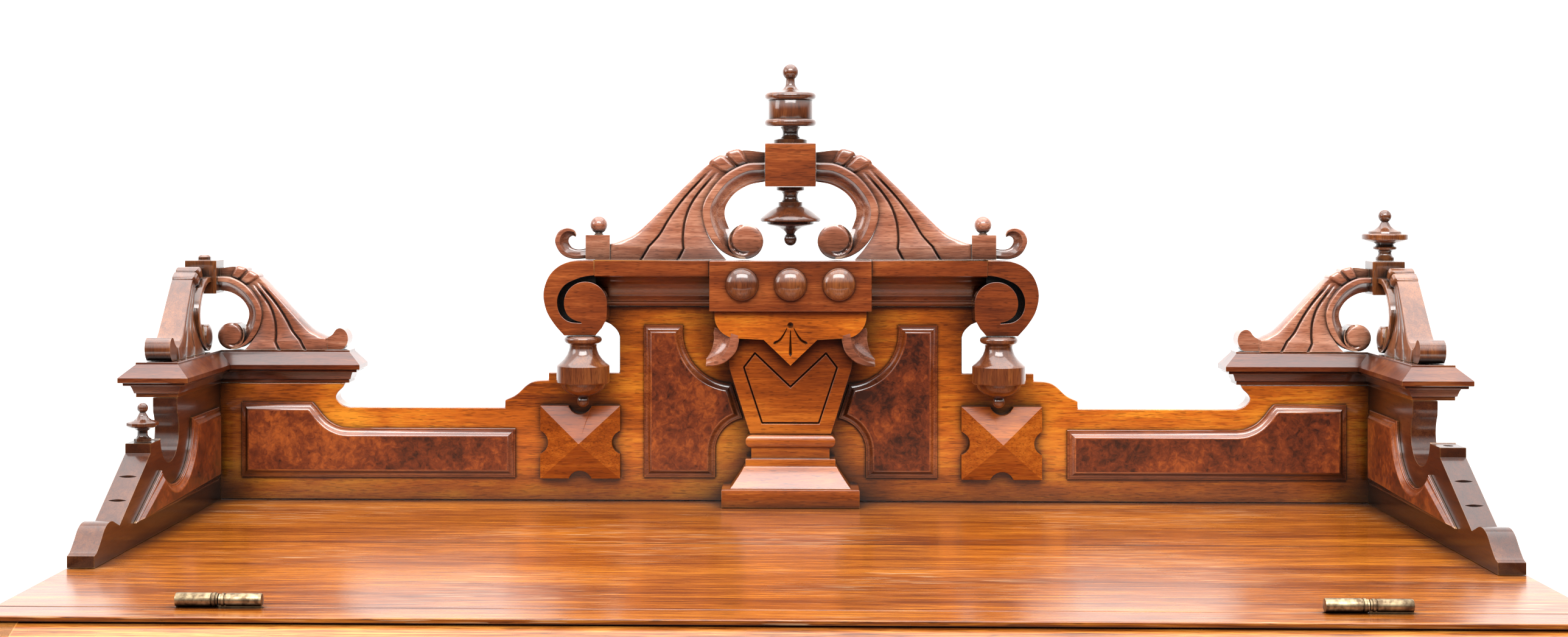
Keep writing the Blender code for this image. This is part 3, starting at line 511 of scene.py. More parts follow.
def walnut(name, along, tones, hollow_colour="#120803", rub="#CE9450", gloss=0.3, coat=1.0, reach=18, patch=(70, 190)):
    """Varnished walnut, sawn along one axis: soft patches of colour (width and length in millimetres), fine
    fibres 0.9 mm wide and short dark pores. Real fibres and pores are about 0.2 mm; they are drawn wider so
    that they show. tones are its dark, middle and light colours."""
    material, tree, shader = fresh(name)
    dark, middle, light = (linear(tone) for tone in tones)
    patches = noise(tree, stretched(tree, along, *patch), 3.0, 0.55, 0.8)
    veins = noise(tree, stretched(tree, along, 5, 90), 3.0, 0.65, 0.5)
    fibres = noise(tree, stretched(tree, along, 0.9, 16), 2.0, 0.7)
    pores = noise(tree, stretched(tree, along, 0.8, 7), 0.0)
    figure = between(tree, 0.22, between(tree, 0.35, patches, veins), fibres)
    tone = ramp(tree, figure, (0.37, dark), (0.63, light), (0.5, middle))
    flecks = ramp(tree, pores, (0.62, grey(1.0)), (0.72, grey(0.62)))
    grained = blended(tree, 1.0, tone, flecks, "MULTIPLY")
    # Painted shade: the hollow colour darkens corners, recesses and undersides out to reach millimetres.
    fill(tree, shader, {"Base Color": darkened_and_rubbed(tree, grained, hollow_colour, rub, reach),
                        "Roughness": mapped(tree, fibres, gloss - 0.06, gloss + 0.1),
                        "Normal": bump(tree, fibres, 0.08, 0.3), "Specular IOR Level": 0.2,
                        "Coat Weight": coat, "Coat Roughness": 0.13, "Coat IOR": 1.75})
    return material


def burl(name):
    """Burl walnut veneer under varnish: fine red-brown mottling, dark clouds 40 mm wide, small round eyes."""
    material, tree, shader = fresh(name)
    place = coordinates(tree)
    swirl = node(tree, "ShaderNodeTexNoise", {"Vector": place, "Scale": 40.0, "Detail": 3.0})
    bent = node(tree, "ShaderNodeMix", {0: 0.012, 4: place, 5: swirl.outputs["Color"]},
                data_type="VECTOR").outputs[1]
    mottle = noise(tree, bent, 8.0, 0.72, 0.6, 190.0)
    clouds = noise(tree, bent, 4.0, 0.6, scale=26.0)
    eyes = node(tree, "ShaderNodeTexVoronoi", {"Vector": bent, "Scale": 160.0}).outputs["Distance"]
    tone = ramp(tree, between(tree, 0.5, mottle, clouds),
                (0.38, linear("#2E130A")), (0.64, linear("#A4521D")), (0.51, linear("#6C2E13")))
    spots = ramp(tree, eyes, (0.06, grey(0.5)), (0.2, grey(1.0)))
    fill(tree, shader, {"Base Color": blended(tree, 0.6, tone, spots, "MULTIPLY"),
                        "Roughness": mapped(tree, mottle, 0.22, 0.38), "IOR": 1.5,
                        "Coat Weight": 0.5, "Coat Roughness": 0.16})
    return material


def scratches(tree, turn, length, share):
    """Thin pale lines where a hard thing was drawn across the polish, about length long, in one direction."""
    width = 1.3
    scale = (1 / (length * MM), 1 / (width * MM), 1 / (width * MM))
    place = node(tree, "ShaderNodeMapping", {"Vector": coordinates(tree), "Scale": scale,
                                             "Rotation": (0, 0, math.radians(turn))}).outputs["Vector"]
    return ramp(tree, noise(tree, place, 0.0), (share, grey(0.0)), (share + 0.02, grey(1.0)))


def polished_top(name, tones, reach, wear):
    """The walnut top, planed, polished and used: bands of colour, fine streaks and dark pores drawn 1 mm wide
    and the glue line between its two boards drawn 4 mm wide, so that they show, a hazy gloss and, where wear
    is high, pale scratches."""
    material, tree, shader = fresh(name)
    dark, middle, light = (linear(tone) for tone in tones)
    bands = noise(tree, stretched(tree, "X", 34, 500), 3.0, distortion=0.4)
    streaks = noise(tree, stretched(tree, "X", 1.8, 70), 3.0, 0.7)
    pores = noise(tree, stretched(tree, "X", 1.1, 16), 1.0)
    haze = noise(tree, stretched(tree, "X", 120, 200), 4.0, 0.6)
    tone = ramp(tree, between(tree, 0.68, bands, streaks), (0.36, dark), (0.62, light), (0.49, middle))
    flecks = ramp(tree, pores, (0.6, grey(1.0)), (0.72, grey(0.5)))
    grained = blended(tree, 1.0, tone, flecks, "MULTIPLY")

    depth = node(tree, "ShaderNodeSeparateXYZ", {0: coordinates(tree)}).outputs["Y"]
    beside = maths(tree, "ABSOLUTE", maths(tree, "SUBTRACT", depth, GLUE_LINE))
    seam = mapped(tree, beside, 0.8, 0.0, 1.2 * MM, 2.6 * MM)
    glued = blended(tree, seam, grained, linear("#3A1A08"))

    marks = blended(tree, 1.0, scratches(tree, 12, 60, 0.72), scratches(tree, -24, 45, 0.735), "LIGHTEN")
    used = ramp(tree, haze, (0.47, grey(0.0)), (0.6, grey(wear)))
    scored = blended(tree, blended(tree, 1.0, marks, used, "MULTIPLY"), glued, linear("#E9C79B"))
    # Painted shade: the dark hollow colour darkens the polish in corners and where pieces stand on it, out to
    # reach millimetres.
    fill(tree, shader, {"Base Color": darkened_and_rubbed(tree, scored, "#2A1208", "#D08A44", reach),
                        "Roughness": mapped(tree, haze, 0.18, 0.34, 0.3, 0.7),
                        "Normal": bump(tree, streaks, 0.08, 0.4), "Specular IOR Level": 0.35,
                        "Coat Weight": 0.4, "Coat Roughness": 0.17})
    return material


def brass(name):
    """Aged cast brass: brown tarnish over a yellow metal that shows where it is rubbed."""
    material, tree, shader = fresh(name)
    patina = noise(tree, stretched(tree, "X", 5, 5), 4.0)
    tone = ramp(tree, patina, (0.38, linear("#6A5844")), (0.66, linear("#BCA682")))
    fill(tree, shader, {"Base Color": darkened_and_rubbed(tree, tone, "#2A1D12", "#D2B68A", 4),
                        "Roughness": mapped(tree, patina, 0.5, 0.3), "Metallic": 1.0})
    return material


def leather(name):
    """Tooled writing leather: dyed green, with a fine pebbled grain, 2 mm across, drawn coarse to show."""
    material, tree, shader = fresh(name)
    pebbles = node(tree, "ShaderNodeTexVoronoi", {"Vector": stretched(tree, "X", 2, 2), "Scale": 1.0})
    clouds = noise(tree, stretched(tree, "X", 60, 60), 3.0)
    tone = ramp(tree, clouds, (0.35, linear("#1F2A1C")), (0.65, linear("#3C4A30")))
    fill(tree, shader, {"Base Color": tone, "Roughness": 0.55,
                        "Normal": bump(tree, pebbles.outputs["Distance"], 0.35, 0.4)})
    return material


BLOCK_TONES = ("#642A0A", "#90440F", "#BA671E")
CASE_TONES = ("#54260C", "#7E3F14", "#A65F20")
# Each walnut's hollow colour and reach paint shade into its corners and under its overhangs; the long reaches
# of the board, upper, side and cap walnut give wide painted shade.
BOARD_WALNUT = walnut("varnished walnut, grain across", "X", ("#6E2E09", "#C06216", "#EE982A"), reach=46)
UPPER_WALNUT = walnut("varnished walnut, redder", "X", ("#542410", "#803C18", "#AC5E2C"), "#0E0603", reach=44)
BLOCK_WALNUT = walnut("varnished walnut, applied blocks", "X", BLOCK_TONES, coat=0.6)
FACET_WALNUT = walnut("varnished walnut, faceted blocks", "X", BLOCK_TONES, coat=0.07)
# The side boards' tones are darkened as painted shade on these sideways-facing boards, and their dark hollow
# colour reaches 50 mm.
SHADED_SIDE_WALNUT = walnut("varnished walnut, grain front to back", "Y", ("#34160A", "#4E230D", "#6E3C1C"),
                     "#0C0502", coat=0.5, reach=50)
CAP_WALNUT = walnut("varnished walnut, corner caps", "X", ("#3E1809", "#62290F", "#884A20"), "#0C0502",
                    coat=0.85, reach=50)
CASE_WALNUT = walnut("varnished walnut, long boards", "X", CASE_TONES, "#140903", coat=0.7, patch=(38, 800))
POST_WALNUT = walnut("varnished walnut, upright boards", "Z", CASE_TONES, "#140903", coat=0.7, patch=(38, 800))
# The near-black hollow colour of the carved walnut is painted shade in the carving's hollows.
CARVED_WALNUT = walnut("carved walnut, painted shade in hollows", "X", ("#5A3120", "#985A40", "#CA9072"), "#120B08",
                       "#DEB898", gloss=0.34, reach=22)
TURNED_WALNUT = walnut("turned walnut", "Z", ("#43200F", "#683519", "#905428"), "#120A06", "#C89464",
                       gloss=0.34, reach=20)
BURL = burl("burl walnut veneer")
TOP_POLISH = polished_top("polished walnut top", ("#4A1B04", "#8C460D", "#C27422"), 24, 0.55)
# The hood's tones are lighter than the top's: painted light on its forward-leaning front. Its short reach
# paints little shade under the lip.
HOOD_POLISH_PAINTED_LIGHTER = polished_top("polished walnut hood", ("#642C0A", "#A25A1A", "#D08C3C"), 4, 0.1)
INNER_WOOD = walnut("oiled maple lining", "X", ("#8A5A2C", "#B07A42", "#CC9A5C"), "#3A2210", "#D8AE76",
                    gloss=0.46, coat=0.1)
AGED_BRASS = brass("aged brass")
WRITING_LEATHER = leather("tooled leather")
ROW = row_tree()


# Gallery

def gouge(path, width, depth, place, face, drop=False):
    """A cutter that leaves a cut along a path on a face, pointed at both ends or with a round end."""
    loops = []
    steps = len(path) - 1
    for i, (p, q) in enumerate(path):
        along = direction(path, i)
        t = i / steps
        full = max(math.sin(math.pi * (0.04 + 0.92 * t)), 0.05) ** 0.7
        if drop:
            full = (0.3 + 0.7 * t) * max(1 - max(0.0, (t - 0.86) / 0.14) ** 2, 0.02) ** 0.5
        half = width / 2 * full
        left = (p - along.y * half, q + along.x * half)
        right = (p + along.y * half, q - along.x * half)
        loops.append([place(*left, face + 0.6), place(p, q, face - depth * full), place(*right, face + 0.6)])
    return loft(loops)


def turning(name, node_name, profile, x, out, base, count=48):
    """A turned piece on an upright axis, in place of its CAD node."""
    shape = turned(profile, upright(x, out, base), count)
    piece(name, shape, TURNED_WALNUT, [node_name])


def back_board():
    cove = spline([(408, SIDE_TALL), (410, 103), (415, 98), (416.3, 93), (411, 87.3), (404, 84.8)], 20)
    ogee = spline([(261, 91.7), (251, 96.5), (241, 105.5), (233, 109.2), (221, 110)], 20)
    shoulder = spline([(156, 149.7), (158, 155), (163, 160), (169, 163), (192.6, 167.7)], 12)
    half = [(OUTER, CLEAR), (OUTER, SIDE_TALL)] + cove + [(261, 84.8)] + ogee + [(221, 117), (156, 117)]
    half += shoulder + [(192.6, 177.7)]
    shape = prism(mirror(half), -BACK_THICK, 0, from_front)
    piece("back_board", shape, BOARD_WALNUT, ["back_panel"], edge=0.9)


def side_board(name, sign):
    """A stepped side with two notches in its slope. The right one shows the hole of its lost finial."""
    foot = spline([(328, 9.4), (322, 11.5), (314, 18), (306, 25.5), (298, 29), (289, 29.2), (280, 26),
                   (272, 23)], 36)
    shelf = (198, 69)
    outline = [(CLEAR, CLEAR), (328, CLEAR)] + foot + [shelf, (198, 77), (174, 77)]
    outline += arc(148, 80, 25, -5, -215, 44) + [(128, 101), (128, SIDE_TALL), (CLEAR, SIDE_TALL)]
    bm = prism(outline, sign * INNER, sign * OUTER, from_side)
    middle = sign * (INNER + OUTER) / 2
    slope = Vector((74, -46)).normalized()
    tools = []
    for step in (29, 58):
        center = Vector(shelf) + slope * step

        def on_slope(p, q, h, center=center):
            return at(middle + p, center.x + slope.x * q - slope.y * h, center.y + slope.y * q + slope.x * h)

        tools.append(gouge([(-7 + 14 * i / 8, 0) for i in range(9)], 3.6, 2.6, on_slope, 0))
    if sign > 0:
        tools.append(turned([(4, 62), (4, 80)], upright(middle, SIDE_FINIAL_OUT, 0), 24))
    piece("side_board_" + name, cut(bm, *tools), SHADED_SIDE_WALNUT, ["side_panel_" + name], edge=0.9)


def burl_field(name, outline, view, node_name):
    """A raised burl panel: a small flat rim, an ogee slope, and the veneered face."""
    steps = ((0, CLEAR), (0, 1.9), (0.5, 2.4), (1.7, 2.5), (1.9, 2.9), (3.2, 3.2), (4.6, 4.2), (5.8, 5.3),
             (6.6, 5.8), (7.2, 6.0), (7.6, 6.0))
    bm = stepped(outline, steps, view)
    bm.faces.ensure_lookup_table()
    bm.faces[-1].material_index = 1
    # The rim and ogee slope take the darker upper walnut as painted shade on the moulding round the burl.
    piece(name, bm, UPPER_WALNUT, [node_name], field=BURL)


def burl_fields(name, sign):
    end = INNER - 20
    low = [(end, 21), (251, 21), (251, 66)]
    low += spline([(403.8, 66), (412, 67.2), (421, 71.5), (428, 78), (433, 84.5), (437.8, 89.7)], 18)
    low += [(end, 89.7)]
    burl_field("low_field_" + name, flipped(low, sign), from_front, "low_burl_" + name)
    center = [(133.6, 21.6), (68.4, 21.6)] + arc(38, 46, 30.4, 4, 80, 16) + arc(50, 155, 48, -86, 7, 30)
    center += [(133.6, 160.8)]
    burl_field("center_field_" + name, flipped(center, sign), from_front, "center_burl_" + name)
    flank = [(12, 19), (12, 86)] + arc(140, 84, 48, 177.6, 318, 36) + [(240, 19)]
    burl_field("flank_field_" + name, flank, lambda p, q, h: at(sign * (INNER - h), p, q), "side_burl_" + name)


def cornice(name, sign):
    """The moulded rail and the volute that it curls into, with a deep crescent cut beside the eye."""
    z0 = CORNICE_BASE
    z1 = CORNICE_TOP
    join = 176
    front = 34
    bed_front = 16
    rail = [(-BACK_THICK, z0), (3, z0)] + arc(3, z0 + 5.2, 5.2, -88, -10, 8)
    rail += [(10.6, z0 + 5.2), (10.8, z0 + 6.6)] + arc(31.4, z0 + 7, 20.6, 178, 92, 16)
    rail += [(33.7, z1 - 14), (front, z1 - 13.6), (front, z1), (-BACK_THICK, z1)]
    bar = prism(rail, sign * (TABLET_HALF + CLEAR), sign * join, from_side)

    def hung(points):
        """Points drawn below the cornice's top."""
        return [(x, z1 - drop) for x, drop in points]

    outside = spline(hung([(186, 0), (198, 1), (209, 6), (217.5, 15.5), (221.6, 30), (219, 45), (212, 57),
                           (203, 67.4)]), 34)
    inside = hung([(175, 67.4), (169, 60.5), (164.8, 52.5), (164.4, 42)])
    crescent = spline(hung([(join, 13.4), (184, 14.4), (192, 16.8), (201.4, 21.4), (207, 28.4), (209.2, 36.4),
                            (207.9, 45.4), (203.8, 51.5), (197.4, 55.2), (187.6, 56.2)]), 40)
    eye = []
    for angle in range(-76, 177, 6):
        radius = 17.3 + 2.1 * min(1.0, (angle + 76) / 44)
        turn = math.radians(angle)
        eye.append((183.8 + radius * math.cos(turn), z1 - 38.4 + radius * math.sin(turn)))
    curl = inside[::-1] + outside[::-1]
    face = [(join, z1)] + crescent + eye + curl
    whole = [(join, z1), (join, z1 - 20), (164.4, z1 - 36)] + curl
    top = prism(flipped(face, sign), bed_front, front, from_front)
    bed = prism(flipped(whole, sign), CLEAR, bed_front, from_front)
    piece("cornice_rail_" + name, joined(bar, bed, top), UPPER_WALNUT, ["cornice_" + name], edge=0.8)


def volute_pendant(name, sign):
    profile = [(13, 0)] + ring_bead(17.2, 3.4, -3.6)[::-1] + [(12.8, -8), (12.4, -10)]
    profile += [(13, -13), (14.6, -17), (17.6, -21), (21.5, -24.6), (23.4, -26.2), (24, -27)]
    profile += [(24, -41.6), (23.2, -42.6), (20.4, -43), (20, -44), (18.6, -47.5), (14.5, -51), (9.5, -53.4)]
    profile += [(5.4, -54.6), (4.2, -55.6)] + bead(5.5, -59, 40, -85)
    drop = "volute_drop_" + name
    turning("volute_pendant_" + name, drop, profile, sign * 186.8, 24.3, height(drop, 1))


def tablet():
    """The tablet and its three bosses."""
    low = CORNICE_BASE - 2.7
    front = 38
    outline = [(-BACK_THICK, CORNICE_BASE), (CLEAR, CORNICE_BASE), (CLEAR, low), (front, low),
               (front, CORNICE_TOP), (-BACK_THICK, CORNICE_TOP)]
    bm = prism(outline, -TABLET_HALF, TABLET_HALF, from_side)
    piece("tablet_block", bm, UPPER_WALNUT, ["tablet"], edge=0.8)
    radius = 14.7
    pitch = 43.3
    angles = [math.pi / 2 * i / 12 for i in range(1, 12)]
    dome = [(radius, -0.5), (radius, 0.8)]
    dome += [(radius * math.cos(a), 0.8 + 8.4 * math.sin(a)) for a in angles] + [(0.2, 9.2)]
    middle = (low + CORNICE_TOP) / 2 + 1.5
    boss = turned(dome, facing_front(-pitch, middle, front), 40)
    row("tablet_bosses", boss, 3, (pitch * MM, 0, 0), TURNED_WALNUT)


def apron():
    """The cut board under the tablet, with a carved spray of three drops and a dot."""
    top = CORNICE_BASE - 3
    face = 32.3
    half = [(68, top), (68, top - 4)] + arc(48, top - 4, 20, -4, -90, 14)
    half += [(24, top - 25.3), (0.01, top - 48.3)]
    tools = [turned([(3.1, 4), (2.6, 0), (0.3, -2.4)], facing_front(0, top - 12.2, face - 1), 20),
             gouge([(0, top - 16.8 - 23.4 * i / 16) for i in range(17)], 4.4, 3.0, from_front, face, True)]
    drop = [(3, top - 14.8), (6, top - 20.6), (9.8, top - 25.8), (15.4, top - 28.8)]
    for sign in (-1, 1):
        path = spline(flipped(drop, sign), 16)
        tools.append(gouge(path, 4.2, 2.8, from_front, face, True))
    bm = prism(mirror(half), 22.3, face, from_front)
    piece("apron_board", cut(bm, *tools), BOARD_WALNUT, ["apron"], edge=0.6)


HOLLOW_SHARE = 0.66
HOLLOW_STEPS = (0, 0.08, 0.16, 0.25, 0.34, 0.43, 0.51, 0.57, 0.62, 0.655,
                HOLLOW_SHARE, 0.68, 0.76, 0.86, 0.93, 0.97, 1)


def hollowed(depth, fade=0.0):
    """The relief of a scroll: a flat rim along the outer edge, and a hollow that falls away inside it."""
    def relief(along, across, width):
        strength = 1 - fade * max(0.0, (along - 0.7) / 0.3)
        if across >= HOLLOW_SHARE:
            return 0.9 * max(0.0, (across - 0.93) / 0.07) ** 2
        return depth * strength * (1 - (across / HOLLOW_SHARE) ** 2.2) + 0.4
    return relief


def apron_ear(name, sign):
    rim = spline([(45.5, 153), (46.5, 147), (48.5, 140), (53, 134), (60.3, 128.6), (68, 126.3),
                  (75.7, 125.7)], 30)
    hollow = spline([(68, 160), (69, 156), (68.8, 149.5), (70.3, 142), (72.5, 137), (75.7, 132.1)], 30)
    bm = carved(hollow, rim, HOLLOW_STEPS, hollowed(8), 5, lambda p, q, h: at(sign * p, 27.4 + h, q), True)
    piece("apron_scroll_" + name, bm, CARVED_WALNUT, ["apron_ear_" + name])


def shield():
    """The tapered shield with its cut line, and the moulded foot that it stands on."""
    top = CORNICE_BASE - 3
    half = [(36.4, 64), (55, 123), (58, top - 24), (58, top - 14)]
    line = [(-32, 137), (0, 106.6), (32, 137), (42, 124), (25.5, 74), (-25.5, 74), (-42, 124)]
    tool = stepped(line, ((-0.9, 22.6), (0, 19.2), (0.9, 22.6)), from_front, ring=True)
    bm = cut(prism(mirror(half), CLEAR, 22, from_front), tool)
    piece("shield_board", bm, BLOCK_WALNUT, ["shield"], edge=0.7)

    widest = 61.7
    steps = [(0.3, widest), (15.6, widest), (16.3, 61.2), (16.6, 54.2), (19, 52.2), (23, 49.4), (28, 46),
             (32, 43.4), (34.6, 42), (35.4, 41.4), (35.6, 40.4), (41.6, 40.4), (42.2, 40), (42.4, 35.2),
             (51.6, 35.2)]
    steps += [(57.7 + 5.8 * math.sin(a), 34.6 + 5.8 * math.cos(a))
              for a in (math.pi * (i / 12 - 0.5) for i in range(1, 12))] + [(63.7, 34)]
    loops = []
    for z, half_width in steps:
        out = 39 - 0.6 * (widest - half_width)
        ring = [(-half_width, CLEAR), (half_width, CLEAR), (half_width, out), (-half_width, out)]
        loops.append([at(x, o, z) for x, o in ring])
    piece("shield_foot", loft(loops), BLOCK_WALNUT, ["shield_base"], edge=0.6)


def scroll_eye(radius, depth, place):
    """The round end of a scroll, with the groove that winds into its outer side."""
    shares = (0.02, 0.25, 0.42, 0.52, 0.57, 0.62, 0.67, 0.72, 0.77, 0.82, 0.87, 0.92, 0.96, 1.0)
    loops = []
    for face, order in ((1, shares), (-1, shares[::-1])):
        for share in order:
            loop = []
            for i in range(64):
                degrees = 180 - 360 * i / 64
                rise = depth + 0.9 - 1.4 * share ** 6
                along = (75 - degrees) / 185
                if face > 0 and 0 < along < 1:
                    rise -= 3.6 * (1 - along) ** 0.6 * math.exp(-((share - 1.0 + 0.36 * along) / 0.07) ** 2)
                angle = math.radians(degrees)
                reach = radius * share
                loop.append(place(reach * math.cos(angle), reach * math.sin(angle), face * rise))
            loops.append(loop)
    return loft(loops)


RIBS = ((0.118, 0.196), (0.206, 0.288))
FLUTES = (0.36, 0.68)
LEAF_STEPS = 148
LEAF_END = 12


def rib(along):
    """How far the two ribs that bind a leaf are raised, from 0 to 1."""
    for start, end in RIBS:
        if start < along < end:
            return min(1.0, 5 * min(along - start, end - along) / (end - start)) ** 0.5
    return 0.0


def bow(along):
    """How far the flutes of a leaf bow toward its top edge."""
    if along < 0.92:
        return -0.04 * max(0.0, (along - 0.7) / 0.22)
    return -0.04 + 0.1 * (along - 0.92) / 0.08


def scroll_shapes(wide, high, depth, place, flat_back=False):
    """A carved bracket: a hollowed C scroll with its eye, and a fluted leaf under two bound ribs."""
    def drawn(points, count):
        return spline([(p * wide, q * high) for p, q in points], count)

    rim = drawn([(0, 87.4), (18, 86), (36, 76.5), (49, 62), (55.7, 48.3), (55.5, 35), (50.5, 21), (42, 10),
                 (33, 3.8), (24, 0.9), (17, 0.5)], 84)
    hollow = drawn([(0, 70.3), (14, 67.5), (27, 60), (35, 49.5), (36.6, 40), (34, 31), (31, 24), (30, 16),
                    (26.5, 9), (20, 5.5)], 84)
    scroll = carved(hollow, rim, HOLLOW_STEPS, hollowed(depth * 0.9, 0.85), depth, place, flat_back)

    eye = scroll_eye(15.8 * high, depth, lambda p, q, h: place(17.2 * wide + p, 16.3 * high + q, h))

    tip = 13.6
    top = drawn([(0, 97), (24, 98.2), (49, 87.5), (72, 66.7), (94, 44.7), (115, 24.7), (130, 17),
                 (CREST_LENGTH, tip)], LEAF_STEPS - LEAF_END)
    raised = []
    for i, (p, q) in enumerate(top):
        along = direction(top, i)
        lift = 2.0 * high * rib(i / LEAF_STEPS)
        raised.append((p - along.y * lift, q + along.x * lift))
    raised += [(CREST_LENGTH * wide, tip * high * (1 - i / LEAF_END)) for i in range(1, LEAF_END + 1)]
    under = drawn([(0, 87.4), (18, 86), (36, 76.5), (49, 62), (55.7, 48.3), (55.5, 35), (51, 21), (43, 9),
                   (35, 0)], LEAF_STEPS)

    def leaf(along, across, width):
        cut_depth = depth * (0.5 - 0.48 * max(0.0, (along - 0.3) / 0.7) ** 1.4)
        if along < 0.112:
            return cut_depth + 2.2
        bound = rib(along)
        if bound:
            return cut_depth - 2.6 * bound + 1.6 * (2 * across - 1) ** 4
        fade = min(1.0, max(0.0, (along - 0.3) / 0.12))
        for line in FLUTES:
            cut_depth += 2.2 * fade * math.exp(-((across - line) * width / 0.9) ** 2)
        edges = (0.0,) + FLUTES + (1.0,)
        for start, end in zip(edges, edges[1:]):
            if start <= across <= end:
                cut_depth -= 0.5 * fade * math.sin(math.pi * (across - start) / (end - start))
        return cut_depth + 1.2 * max(0.0, (across - 0.95) / 0.05) ** 2

    spots = {i / 26 for i in range(27)} | {0.97, 0.985}
    for line in FLUTES:
        for gap in (0, 0.006, 0.012, 0.02, 0.03, 0.045):
            spots |= {line - gap, line + gap}
    fan = carved(under, raised, sorted(spots), leaf, depth, place, flat_back, bow)
    return [scroll, eye, fan]


def crest(name, sign):
    """A carved crest board, and the block with its ball and curl at the end."""
    def place(p, q, h):
        return at(sign * (BLOCK_HALF + CLEAR + p), CREST_PLANE + h, CREST_BASE + q)

    piece("crest_carving_" + name, joined(*scroll_shapes(1.0, 1.0, 12, place)), CARVED_WALNUT,
          ["crest_scroll_" + name])
    size = 22
    inner_edge = BLOCK_HALF + 2 * CLEAR + CREST_LENGTH
    ends = sorted((sign * inner_edge, sign * (inner_edge + size)))
    cube = box(at(ends[0], CREST_PLANE + size / 2, CREST_BASE),
               at(ends[1], CREST_PLANE - size / 2, CREST_BASE + size))
    ball = turned([(4.2, -1), (4.2, 0.8), (3.4, 1.4)] + bead(7.9, 8.9, -64, 86, 16),
                  upright(sign * (inner_edge + size / 2), CREST_PLANE, CREST_BASE + size), 36)
    rim = spline([(-1, 0.6), (13, 0.4), (23, 5), (28.3, 15.5), (25.5, 24.5), (18, 28.4), (11, 26.5),
                  (8.6, 22.5)], 48)
    hollow = spline([(-1, 10), (7, 8.8), (13, 10.4), (16.2, 15), (15.8, 19), (13, 21), (11, 20.6),
                     (9.8, 20)], 48)
    curl = carved(hollow, rim, HOLLOW_STEPS, hollowed(5), 7.5,
                  lambda p, q, h: at(sign * (inner_edge + size + p), CREST_PLANE + h, CREST_BASE + q))
    piece("crest_end_" + name, joined(cube, ball, curl), CARVED_WALNUT,
          ["crest_terminal_" + name], edge=0.6)


def crest_turnings():
    dress("crest_block", UPPER_WALNUT)
    profile = [(15.4, 0), (15.4, 3), (14.8, 3.5), (9.6, 4.4), (7.7, 6.4), (7.1, 9), (7.6, 12), (9.4, 14.7)]
    profile += ring_bead(23.7, 3.6, 18.6, 10) + [(20.3, 22.6), (20.3, 38.8)] + ring_bead(23.6, 3.5, 42.6, 10)
    profile += [(18, 46.4), (12, 47.2), (7.6, 49), (5.2, 51.4), (4.2, 54), (4.1, 57.6)]
    profile += bead(7.3, 64.6, -56, 86, 16)
    turning("crest_turning", "crest_finial", profile, 0, CREST_PLANE, height("crest_finial", 0))
    profile = [(12.9, 0), (12.9, -2.8), (12.3, -3.4), (8.2, -4.4), (6.9, -6.6), (6.6, -9), (7.2, -11.6)]
    profile += [(8.6, -13.2), (11.2, -13.6), (11.2, -17), (12.4, -17.6), (15.6, -19.4), (20.4, -22.4)]
    profile += [(25, -26.2), (27.3, -28.2), (27.7, -28.9), (27.7, -30.8), (27.1, -31.3), (21.5, -31.5)]
    profile += [(21.5, -33.7), (20.8, -34.2), (13.5, -36), (8.4, -38.2), (5.2, -40.4), (4.1, -42.4)]
    profile += bead(6, -47.4, 52, -86, 16)
    turning("crest_pendant", "crest_drop", profile, 0, CREST_PLANE, height("crest_drop", 1))


def corner(name, sign):
    """The moulded L-shaped cap on a corner, flat at the back, with its post and two carved brackets."""
    near = INNER - CAP_OVERHANG
    far = near + CAP_WIDTH
    arm = INNER - CAP_BACK_ARM
    steps = [(12, 0), (12, 3), (10.6, 3.4), (10.2, 5), (9.4, 7.4), (8.2, 10.1), (3.8, 10.3), (3.4, 10.8),
             (3.4, 12.7), (0.6, 12.9), (0, 13.4), (0, 17.2), (0.6, 17.9), (11.6, 27.8), (11.7, 28.1),
             (11.7, 29.4), (12, 29.7)]
    loops = []
    for amount, rise in steps:
        front = CAP_OVERHANG - amount
        end = CAP_SIDE_ARM - amount
        plan = [(arm + amount, front), (arm + amount, -CAP_BACK), (far - amount, -CAP_BACK),
                (far - amount, end), (near + amount, end), (near + amount, front)]
        loops.append([at(sign * x, out, CAP_BASE + rise) for x, out in plan])
    piece("cap_" + name, loft(loops), CAP_WALNUT, ["corner_cap_" + name])
    dress("corner_post_" + name, TURNED_WALNUT)

    finger = [(100.8, 0.2)]
    finger += spline([(100.8, 10.7), (105.5, 14), (109, 18.6), (113, 19.7), (117.5, 17), (119.8, 11.5),
                      (119, 5.5), (115, 0.6), (110, 0.1)], 30)
    base = CAP_TOP + CLEAR

    def back_place(p, q, h):
        return at(sign * (POST_X - POST_HALF - CLEAR - p), h - 9.8, base + q)

    def side_place(p, q, h):
        return at(sign * (POST_X + q / 30 - h), POST_OUT + POST_DEEP + CLEAR + p, base + q)

    # The side brackets take the darker turned walnut as painted shade on their sideways-facing carving.
    for way, place, depth, finish in (("back", back_place, 10.9, CARVED_WALNUT),
                                      ("side", side_place, 12.3, TURNED_WALNUT)):
        shapes = scroll_shapes(0.72, 0.768, depth, place, True)
        shapes.append(prism(finger, -depth + 0.6, depth - 2, place))
        piece("corner_carving_" + way + "_" + name, joined(*shapes), finish,
              ["corner_scroll_" + way + "_" + name])


